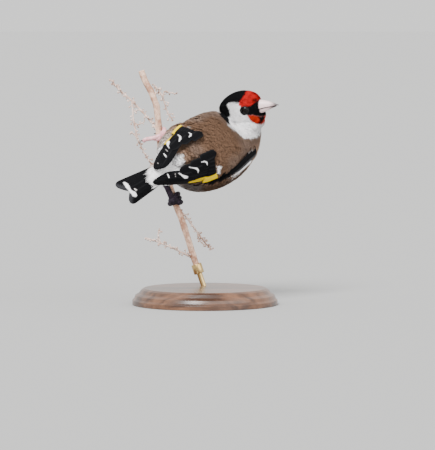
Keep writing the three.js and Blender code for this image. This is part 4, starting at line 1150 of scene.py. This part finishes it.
def wing_colour(side, kind, across, station, angle):
    """A wing feather's colour: black with a greyer shaft, a yellow bar, and white strokes at the tips."""
    w, x, a = (v.ravel() for v in (across, station, angle))
    colour = np.tile(BLACK, (w.size, 1))
    if kind == "fringe":
        outwards = -w if side == "left" else w
        return blend(np.tile(WHITE, (w.size, 1)), SOFT_WHITE, 0.8 * ease(0.1, 0.7, outwards))
    if kind == "leading":
        outer_half = ease(-0.1, 0.5, a - level(WING_LINE, x) - 0.5)
        return blend(colour, CHARCOAL * 2.2, outer_half * ease(-3, 2, x))
    colour = blend(colour, CHARCOAL, 0.35 * np.exp(-(w / 0.07)**2))
    colour = blend(colour, CHARCOAL, 0.3 * ease(0.82, 0.95, np.abs(w)))
    colour = blend(colour, YELLOW, yellow_bar(side, x, a))
    out_by = bed_point(side, x, a, 2.0)[:, 1]
    for number, line in enumerate(WING_MARKS[side]):
        tone = WHITE if number < 3 or number == 4 else SOFT_WHITE * 0.6
        colour = blend(colour, tone, stroke(x, out_by, line))
    return colour


def wing_vane(side, feather):
    """One feather on the wing's bed: the bed's point at height lift plus a low arch across the vane. Its
    root lies under the coat, and it comes out over a short ramp."""
    kind, (x0, a0), (x1, a1), shape = feather
    plain = kind in ("leading", "fringe")
    rows, columns = (28, 9) if plain else (56, 21)
    share = 1 - (1 - np.linspace(0, 1, rows))**1.15
    x = x0 + (x1 - x0) * share
    middle = a0 + (a1 - a0) * share + shape["bow"] * 4 * share * (1 - share)
    spread = bed_angle(x, vane_outline(share, shape["widest"], shape["narrow"]))
    k = np.linspace(-1, 1, columns)
    angle = middle[:, None] + k[None] * spread[:, None]
    station = np.broadcast_to(x[:, None], angle.shape)
    arch = 0.16 * (1 - k**2)[None] + 0.1 * np.exp(-(k / 0.12)**2)[None]
    thin = (1 - 0.6 * np.abs(k)**3)[None] * (1 - 0.5 * share**4)[:, None]
    front = level(WING_FRONT, angle)
    ramp = ease(0.0, 0.3, share)[:, None] if plain else ease(front + 1.0, front - 3.2, station)
    lift = shape["lift"] * ramp - 1.5 * (1 - ramp)
    low = bed_point(side, station, angle, lift + arch - 0.05)
    high = bed_point(side, station, angle, lift + arch + VANE * thin)
    across = np.broadcast_to(k[None], angle.shape)
    length = x0 - x1
    colours = wing_colour(side, kind, across, station, angle)
    uv = np.column_stack([(across * shape["widest"]).ravel(), np.repeat(share * length, columns)])
    points, quads = vane_plate(outward(BODY, high), outward(BODY, low))
    if side == "left":
        quads = quads[:, ::-1]
    return points, quads, np.concatenate([colours] * 2), np.concatenate([uv] * 2)


def make_wing(side):
    """All the feathers of a wing as one piece."""
    parts = Parts()
    for feather in wing_feathers(side):
        points, quads, colours, uv = wing_vane(side, feather)
        parts.add(points, quads, None, colours, uv)
    mesh = parts.mesh(f"wing_feathers_{side}", "plumage", "vane")
    return add_piece(f"wing_feathers_{side}", mesh, MATERIALS["vane"], [f"wing_{side}"])


for side in SIDES:
    make_wing(side)


def tail_point(x, y, height):
    """A point over the tail's bed, which rises a little towards the tips and falls off to the sides."""
    back = (TAIL["root"] - x) / (TAIL["root"] - TAIL["tip"])
    bed = TAIL["z"] + TAIL["lifted"] * back - TAIL["crown"] * y * y
    return np.stack([x + 0 * y, y + 0 * x, bed + height], axis=-1)


def tail_vane(sign, pair, rows=56, columns=21):
    """One tail feather: it widens to its tip, and its middle runs out from the root to the fan."""
    out = pair / (TAIL["pairs"] - 1)
    outer_tip = TAIL["tip"] - (TAIL["further"] if sign > 0 else 0)
    tip = outer_tip + (TAIL["notch"] - outer_tip) * (1 - out)**1.3
    share = 1 - (1 - np.linspace(0, 1, rows))**1.25
    x = TAIL["root"] + (tip - TAIL["root"]) * share
    root_y = 0.9 + 1.5 * out
    tip_y = 1.4 + (TAIL["fan"] + (1.1 if sign < 0 else 0)) * out + sign * TAIL["drift"] * (1 - out)
    middle = sign * (root_y + (tip_y - root_y) * share)
    end = np.sqrt(np.maximum(1 - (np.maximum(share - 0.9, 0) / 0.1)**2, 0.02))
    half = TAIL["half"] * (0.62 + 0.38 * share) * end
    k = np.linspace(-1, 1, columns)
    y = middle[:, None] + k[None] * half[:, None]
    station = np.broadcast_to(x[:, None], y.shape)
    lift = TAIL["step"] * (TAIL["pairs"] - 1 - pair)
    arch = 0.12 * (1 - k**2)[None] + 0.1 * np.exp(-(k / 0.12)**2)[None]
    low = tail_point(station, y, lift + arch - 0.05)
    high = tail_point(station, y, lift + arch + VANE)
    points, quads = vane_plate(outward(BODY, high), outward(BODY, low))
    across = np.broadcast_to(k[None], y.shape).ravel()
    s = np.broadcast_to(share[:, None], y.shape).ravel()
    colour = np.tile(BLACK, (s.size, 1))
    colour = blend(colour, CHARCOAL, 0.35 * np.exp(-(across / 0.07)**2))
    colour = blend(colour, CHARCOAL * 2, 0.6 * ease(0.95, 0.99, s))
    colour = blend(colour, WHITE, stroke(station.ravel(), y.ravel(), TAIL_MARK, 1.35))
    colour = blend(colour, SOFT_WHITE, stroke(station.ravel(), y.ravel(), TAIL_FLECK, 1.35))
    uv = np.column_stack([across * TAIL["half"], s * (TAIL["root"] - tip)])
    return points, quads[:, ::-1], np.concatenate([colour] * 2), np.concatenate([uv] * 2)


def make_tail():
    """The tail's feathers in pairs, the outermost pair first, as one piece."""
    parts = Parts()
    for pair in range(TAIL["pairs"] - 1, -1, -1):
        for sign in (1, -1):
            points, quads, colours, uv = tail_vane(sign, pair)
            parts.add(points, quads, None, colours, uv)
    mesh = parts.mesh("tail_feathers", "plumage", "vane")
    return add_piece("tail_feathers", mesh, MATERIALS["vane"], ["tail"])


make_tail()


def make_tail_coverts():
    """Long soft white feathers over the root of the tail, and shorter ones under it."""
    random = np.random.default_rng(23)
    count = 420
    above = np.arange(count) % 4 > 0
    y = (random.random(count) * 2 - 1) * np.where(above, 4.2, 4.4) - 0.2 * above
    tip = np.where(above, -59.5 + 0.42 * np.abs(y + 1.6)**1.75, -50 + 0.3 * y**2)
    sizes = np.where(above, 8.5 + 3.5 * random.random(count), 7.5 + 3 * random.random(count))
    first = np.where(above, -26.0, -27.0)
    x = first + (tip + sizes - first) * random.random(count)**0.75
    along_it = np.clip((-27 - x) / 31.5, 0, 1)
    height = np.where(above, 1.9 + 2.6 * (1 - along_it)**1.5, -0.3 - 3.4 * ease(-44, -26, x))
    roots = tail_point(x, y, height - 0.03 * y * y * np.where(above, 1, -1))
    normal = unit(np.stack([0 * x, y * 0.10, np.where(above, 1.0, -1.0)], axis=-1))
    slope = np.where(above, -0.12 * (1 - along_it)**0.5, 0.10)
    way = unit(np.stack([-np.ones(count), 0 * x, slope], axis=-1))
    points = outward(BODY, roots)
    normals = normal @ BODY[0].T
    way = unit(way @ BODY[0].T)
    order = np.argsort(-x, kind="stable")
    strips = 11
    lift = np.where(above, 0.45, 0.3)
    wedge = tufts(points, normals, way, sizes, random, strips, width=0.30, lift=lift)
    tone = np.tile(WHITE, (count, 1))
    tone = blend(tone, SOFT_WHITE, 0.35 * random.random(count))
    tone = blend(tone, BUFF, 0.8 * ease(2.6, 4.0, y) * ease(-30, -36, x) * above)
    home = unwrap(points)
    mesh = coat_mesh("tail_coverts", wedge[order], shaded(tone, random, strips, 0.2)[order], home[order])
    add_piece("tail_coverts", mesh, MATERIALS["plumage"])


make_tail_coverts()


# Bill and eyes

def bill_rings(rows_of, upper_half, rows, columns):
    """Sections of half a bill: flat at the cutting edge, round over the ridge, drawn along its rows."""
    x = np.linspace(rows_of[0][0], rows_of[-1][0], rows)
    here = along(rows_of, x)
    half = here[:, 1:2]
    ridge, edge = (here[:, 2:3], here[:, 3:4]) if upper_half else (here[:, 3:4], here[:, 2:3])
    turn = np.linspace(0, 2 * np.pi, columns, endpoint=False)
    wide = np.sin(turn)
    rise = np.cos(turn)
    over = np.where(rise > 0, rise, 0.0)
    under = np.where(rise < 0, 0.12 * rise, 0.0)
    y = half * np.sign(wide) * np.abs(wide)**0.85
    z = edge + (ridge - edge) * (over**0.9 + under)
    rings = np.stack([np.broadcast_to(x[:, None], y.shape), y, z], axis=-1)
    return rings if upper_half else rings[:, ::-1]


def make_bill(name, rows_of, upper_half):
    """Half the bill, with a UV map that runs along it for its growth lines."""
    rings = bill_rings(rows_of, upper_half, rows=40, columns=36)
    points, quads, fans = closed_tube(outward(SKULL, rings))
    mesh = mesh_from(name, points, quads, fans)
    x = inward(SKULL, points)[:, 0]
    y = inward(SKULL, points)[:, 1]
    first, last = rows_of[0][0], rows_of[-1][0]
    set_uv(mesh, "horn", np.column_stack([(x - first) / (last - first), y / 10 + 0.5]))
    return mesh


add_piece("bill_top_half", make_bill("bill_top_half", UPPER_BILL, True), MATERIALS["bill"],
          ["bill_upper"])
add_piece("bill_low_half", make_bill("bill_low_half", LOWER_BILL, False), MATERIALS["bill"],
          ["bill_lower"])


def gape_line(sign):
    """A dark line of painted shade where the halves of the bill meet, from the mouth's corner along the
    cutting edge.
    """
    x = np.linspace(10.6, 20.8, 30)
    upper, lower = along(UPPER_BILL, x), along(LOWER_BILL, x)
    y = sign * (np.maximum(upper[:, 1], lower[:, 1]) - 0.02)
    line = np.column_stack([x, y, (upper[:, 3] + lower[:, 2]) / 2])
    return tube_rings(outward(SKULL, line), 0.3 - 0.18 * (x - 10.6) / 10.2, 8)


# The gape lines: dark tubes as painted shade in the seam between the bill's halves.
for side, sign in SIDES.items():
    mesh = mesh_from(f"bill_gape_{side}", *closed_tube(gape_line(sign)))
    add_piece(f"bill_gape_{side}", mesh, MATERIALS["lid"])


def ball_rings(centre, radius, rows, columns, frame_of=None):
    """Rings of a sphere about x: centre plus radius times cosine along and sine round."""
    down = np.linspace(0.02, np.pi - 0.02, rows)[:, None]
    turn = np.linspace(0, 2 * np.pi, columns, endpoint=False)[None]
    rings = np.stack([-np.cos(down) + 0 * turn, np.sin(down) * np.sin(turn),
                      np.sin(down) * np.cos(turn)], axis=-1)
    rings = np.asarray(centre, float) + radius * rings
    return outward(frame_of, rings) if frame_of else rings


def eyelid_mesh(name, sign):
    """A ring of lid round an eye: a torus in the plane of the head's side, a little longer than high."""
    around = np.linspace(0, 2 * np.pi, 64, endpoint=False)[:, None]
    tube = np.linspace(0, 2 * np.pi, 14, endpoint=False)[None]
    out = LID["radius"] + LID["tube"] * np.cos(tube)
    x = out * np.cos(around) * 1.06
    y = sign * LID["tube"] * np.sin(tube) * 0.9 + 0 * around
    z = out * np.sin(around) * 0.98
    turn = np.radians(-sign * LID["turn"])
    rings = np.stack([EYE["x"] + x * np.cos(turn) - y * np.sin(turn),
                      sign * LID["y"] + x * np.sin(turn) + y * np.cos(turn), EYE["z"] + z], axis=-1)
    quads = grid_faces(65, 14, True) % (64 * 14)
    if sign > 0:
        quads = quads[:, ::-1]
    return mesh_from(name, outward(SKULL, rings.reshape(-1, 3)), quads)


for side, sign in SIDES.items():
    rings = ball_rings([EYE["x"], sign * EYE["y"], EYE["z"]], EYE["radius"], 24, 32, SKULL)
    add_piece(f"eyeball_{side}", mesh_from(f"eyeball_{side}", *closed_tube(rings)), MATERIALS["eye"],
              [f"eye_{side}"])
    add_piece(f"eyelid_{side}", eyelid_mesh(f"eyelid_{side}", sign), MATERIALS["lid"])


# Perch: the dry stem and its twigs

stem_line = spline(STEM_LINE, 160)


def bark_tube(line, radii, sides, relief=None):
    """A closed tube of bark with a UV map: across is the turn round it and up the distance along it."""
    rings = tube_rings(line, radii, sides, relief)
    points, quads, fans = closed_tube(rings)
    far = np.concatenate([[0], np.cumsum(np.linalg.norm(np.diff(line, axis=0), axis=1))])
    turn = np.abs(np.linspace(-1, 1, sides, endpoint=False))
    uv = np.stack(np.broadcast_arrays(turn[None], far[:, None]), axis=-1).reshape(-1, 2)
    return points, quads, fans, None, np.concatenate([uv, [[0.5, 0.0], [0.5, far[-1]]]])


def make_stem():
    """The cut stem: furrowed along its length, with nine low rings round it."""
    share = np.linspace(0, 1, 160)[:, None]
    turn = np.linspace(0, 2 * np.pi, 28, endpoint=False)[None]
    relief = 0.07 * np.sin(9 * turn + 5 * np.sin(7 * share)) + 0.05 * np.sin(share * 61 + 2 * np.sin(turn))
    relief = relief + 0.1 * np.exp(-((share * 9 % 1 - 0.5) / 0.08)**2)
    parts = Parts()
    parts.add(*bark_tube(stem_line, np.full(160, STEM_RADIUS), 28, relief))
    return parts.mesh("stem", None, "bark")


def add_spurs(parts, line, radius, random, spacing, reach):
    """Short dry spurs along a twig: each leaves slantwise, bends, and swells to a husk at its end."""
    length = np.linalg.norm(np.diff(line, axis=0), axis=1).sum()
    ahead = unit(np.gradient(line, axis=0))
    for place_of in np.arange(spacing * 0.7, length, spacing) + spacing * 0.5 * random.random():
        i = min(int(place_of / length * (len(line) - 1)), len(line) - 1)
        out = random.normal(size=3)
        out = unit(out - ahead[i] * out.dot(ahead[i]))
        size = reach * (0.6 + 0.8 * random.random())
        way = unit(ahead[i] * (0.5 + 0.5 * random.random()) + out)
        end = line[i] + way * size
        mid = line[i] + way * size * 0.55 + out * size * 0.12 + [0, 0, 0.1 * size]
        path = spline([line[i], mid, end], 7)
        radii = radius * np.array([0.75, 0.6, 0.5, 0.55, 1.25, 1.5, 0.4])
        parts.add(*bark_tube(path, radii, 6))


add_piece("stem", make_stem(), MATERIALS["bark"], ["perch_stem"])
spur_random = np.random.default_rng(41)
for name, branches in TWIGS.items():
    parts = Parts()
    for radius, *line in branches:
        points = spline(line, 60)
        radii = radius * np.linspace(1, 0.6, 60) * (1 + 0.14 * np.sin(np.arange(60) * 1.3))
        parts.add(*bark_tube(points, radii, 12))
        add_spurs(parts, points, radius * 0.85, spur_random, spacing=1.25, reach=2.1)
    dry = name.replace("perch_", "dry_")
    add_piece(dry, parts.mesh(dry, None, "bark"), MATERIALS["twig"], [name])


# Legs

def stem_at(height):
    """The stem's middle and its direction at a height, between the two nearest points of its line."""
    i = int(np.searchsorted(stem_line[:, 2], height)) - 1
    s = (height - stem_line[i, 2]) / (stem_line[i + 1, 2] - stem_line[i, 2])
    return stem_line[i] * (1 - s) + stem_line[i + 1] * s, unit(stem_line[i + 2] - stem_line[i - 1])


def foot_frame(leg):
    """Where a foot holds the stem: the stem's middle, its direction, the ankle's side and across."""
    point, up = stem_at(leg["height"])
    out = np.array(leg["heel"]) - point
    out = unit(out - up * out.dot(up))
    return point, up, out, np.cross(up, out)


def grip(foot, degrees, rise, reach):
    """A point round the stem from a foot: degrees from the ankle's side, rise along it, and reach."""
    point, up, out, across = foot
    turn = np.radians(np.asarray(degrees, float))[..., None]
    rise = np.asarray(rise, float)[..., None]
    reach = np.asarray(reach, float)[..., None]
    return point + up * rise + (out * np.cos(turn) + across * np.sin(turn)) * reach


def toe_lines(leg, toe):
    """The middle lines of a toe and its claw, round the stem or out to a point beside it."""
    foot = foot_frame(leg)
    start = grip(foot, 0, 0, GRIP + 0.25)
    if isinstance(toe, list):
        end = np.array(toe)
        way = np.sign(foot[3].dot(end - start))
        bend = grip(foot, 75 * way, -1.5, GRIP + 0.8)
        knuckle = bend + (end - bend) * 0.66 + [0, -0.5, 0.7]
        toe_end = bend + (end - bend) * 0.82
        claw = [toe_end, toe_end + (end - toe_end) * 0.6 + [-0.4, -0.9, 0.8], end + [-1.0, 0.6, -1.6]]
        return spline([start, bend, knuckle, toe_end], 24), spline(claw, 12)
    turn, rise = toe
    share = (np.arange(6) + 1.6) / 6.6
    round_stem = grip(foot, turn * share, rise * np.minimum(1, share * 2.4), np.full(6, GRIP))
    line = np.concatenate([start[None], round_stem])
    s = np.linspace(0, 1, 12)
    reach = GRIP + 0.35 * np.sin(np.pi * s) - 0.25 * s**4
    claw = grip(foot, turn + np.sign(turn) * 52 * s, np.full(12, rise), reach)
    return spline(line, 24), claw


# The left leg has the skin's own pink; the right has that skin painted near black as shade.
LEG_FINISH = {"left": MATERIALS["pale_leg"], "right": MATERIALS["leg_in_painted_shade"]}
STOUT = {"left": 1.3, "right": 1.55}  # how many times thicker each leg and foot is than its bare radii


def make_shank(side, ankle):
    """The bare shank as a tube from the heel to the ankle, with low scutes across it."""
    heel = np.array(LEGS[side]["heel"], float)
    share = np.linspace(0, 1, 40)
    line = heel + (ankle - heel) * share[:, None]
    girth = STOUT[side] * SHANK_RADIUS * (0.95 + 0.17 * (2 * share - 1)**4)
    turn = np.linspace(0, 2 * np.pi, 20, endpoint=False)
    scutes = 0.05 * np.abs(np.sin(share * np.pi * 9))[:, None] * (np.cos(turn) > -0.3)[None]
    mesh = mesh_from(f"leg_shank_{side}", *closed_tube(tube_rings(line, girth, 20, scutes)))
    add_piece(f"leg_shank_{side}", mesh, LEG_FINISH[side], [f"shank_{side}"])


def make_claw(side, number, line):
    """One claw as a tube along its line, thinner to its point."""
    radii = 0.5 - 0.42 * np.linspace(0, 1, 12)
    mesh = mesh_from("claw_tip", *closed_tube(tube_rings(line, radii, 10)))
    add_piece(f"claw_tip_{side}_{number}", mesh, MATERIALS["claw"], [f"claw_{side}_{number}"])


def make_foot(side, ankle):
    """A foot's pad and toes as one piece, and each of its claws."""
    parts = Parts()
    parts.add(*closed_tube(ball_rings(ankle, PAD_RADIUS * STOUT[side], 16, 20)))
    s = np.linspace(0, 1, 24)
    radii = STOUT[side] * TOE_RADIUS * (1.08 - 0.28 * s + 0.08 * np.abs(np.sin(s * np.pi * 7)))
    for number, toe in enumerate(LEGS[side]["toes"]):
        line, claw = toe_lines(LEGS[side], toe)
        parts.add(*closed_tube(tube_rings(line, radii, 14)))
        make_claw(side, number + 1, claw)
    mesh = parts.mesh(f"leg_toes_{side}")
    add_piece(f"leg_toes_{side}", mesh, LEG_FINISH[side], [f"foot_{side}"])


for side, leg in LEGS.items():
    ankle = grip(foot_frame(leg), 0, 0, GRIP + 0.6)
    make_shank(side, ankle)
    make_foot(side, ankle)


# Stand

def make_base():
    """The turned base: its profile, with rounded corners, carried round the upright axis."""
    profile = np.array(BASE_PROFILE, float)
    fine = []
    for (r0, z0), (r1, z1) in zip(profile[:-1], profile[1:]):
        s = np.array([0.02, 0.06, 0.5, 0.94, 0.98])[:, None]
        fine.append(np.array([[r0, z0]]) * (1 - s) + np.array([[r1, z1]]) * s)
    fine = np.concatenate(fine)
    turn = np.linspace(0, 2 * np.pi, 128, endpoint=False)
    rings = np.stack([fine[:, :1] * np.cos(turn), fine[:, :1] * np.sin(turn),
                      np.broadcast_to(fine[:, 1:], (len(fine), 128))], axis=-1)
    return mesh_from("turned_base", *closed_tube(rings))


def make_rod():
    """The rod from the base up to the stem's foot, and round that foot a socket with eased ends."""
    lean = unit(stem_line[1] - stem_line[0])
    foot_of_stem = stem_line[0]
    socket_top = foot_of_stem + lean * ROD["depth"]
    socket_end = foot_of_stem - lean * 2.2
    rod_end = np.array([foot_of_stem[0] - lean[0] * 14, foot_of_stem[1], 9 - ROD["sunk"]])
    parts = Parts()
    rod_line = spline([socket_end + lean, (socket_end + rod_end) / 2, rod_end], 24)
    parts.add(*closed_tube(tube_rings(rod_line, np.full(24, ROD["radius"]), 32)))
    s = np.array([0, 0.02, 0.06, 0.5, 0.94, 0.98, 1.0])
    socket_line = socket_end + (socket_top - socket_end) * s[:, None]
    socket_radii = ROD["socket"] * np.array([0.9, 0.96, 1, 1, 1, 0.96, 0.9])
    parts.add(*closed_tube(tube_rings(socket_line, socket_radii, 40)))
    return parts.mesh("brass_rod")


add_piece("turned_base", make_base(), MATERIALS["wood"], ["stand_base"])
add_piece("brass_rod", make_rod(), MATERIALS["brass"], ["stand_rod"])


# Floor, light and camera

FLOOR_HALF = 9e3


def make_floor():
    """A wide pale floor just under the base: a square of half width FLOOR_HALF."""
    ways = np.array([[-1, -1], [1, -1], [1, 1], [-1, 1]])
    corners = np.column_stack([FLOOR_HALF * ways, np.full(4, -0.1)])
    mesh = mesh_from("floor", corners, np.array([[0, 1, 2, 3]]))
    floor = bpy.data.objects.new("floor", mesh)
    bpy.context.scene.collection.objects.link(floor)
    material, _, shader = new_material("pale_floor", 0.9, specular_ior_level=0.0)
    shader.inputs["Base Color"].default_value = (0.37, 0.37, 0.367, 1)
    floor.data.materials.append(material)


def add_sun(name, way, spread, strength):
    """A broad even light that shines along a direction, its disc as wide as spread degrees."""
    data = bpy.data.lights.new(name, "SUN")
    data.angle = math.radians(spread)
    data.energy = strength
    light = bpy.data.objects.new(name, data)
    bpy.context.scene.collection.objects.link(light)
    light.rotation_euler = aim_turn((0, 0, 0), way)


def aim_turn(at, aim):
    """The turn that points -Z from one point to another with Y up."""
    way = unit(np.array(aim, float) - np.array(at, float))
    tilt = math.acos(-way[2])
    return (tilt, 0.0, math.atan2(way[1], way[0]) - math.pi / 2)


def make_camera():
    """A long lens two metres away, which looks at the bird from a little above."""
    target = np.array([0.0069, 0.0, 0.0437])
    distance, tilt = 2.0, math.radians(4)
    at = target + distance * np.array([0, -math.cos(tilt), math.sin(tilt)])
    data = bpy.data.cameras.new("camera")
    data.lens = 290.9
    data.sensor_width = 36.0
    data.clip_end = 100.0
    camera = bpy.data.objects.new("camera", data)
    bpy.context.scene.collection.objects.link(camera)
    camera.location = at
    camera.rotation_euler = aim_turn(at, target)
    bpy.context.scene.camera = camera


def make_world(lit, seen):
    """Even pale surroundings: one brightness for the light that they give, another for how they look."""
    world = bpy.data.worlds.new("studio")
    world.use_nodes = True
    tree = world.node_tree
    tree.nodes.clear()
    colour = (1.0, 1.0, 0.99, 1)
    giving = node(tree, "ShaderNodeBackground", {"Color": colour, "Strength": lit}).outputs[0]
    behind = node(tree, "ShaderNodeBackground", {"Color": colour, "Strength": seen}).outputs[0]
    straight = node(tree, "ShaderNodeLightPath").outputs["Is Camera Ray"]
    mixed = node(tree, "ShaderNodeMixShader", {0: straight, 1: giving, 2: behind}).outputs[0]
    node(tree, "ShaderNodeOutputWorld", {"Surface": mixed})
    return world


make_floor()
add_sun("key", (0.30, 0.80, -0.85), spread=26, strength=6.4)
add_sun("fill", (-0.75, 0.7, -0.35), spread=60, strength=1.8)
world = make_world(lit=1.25, seen=1.12)
bpy.context.scene.world = world
make_camera()
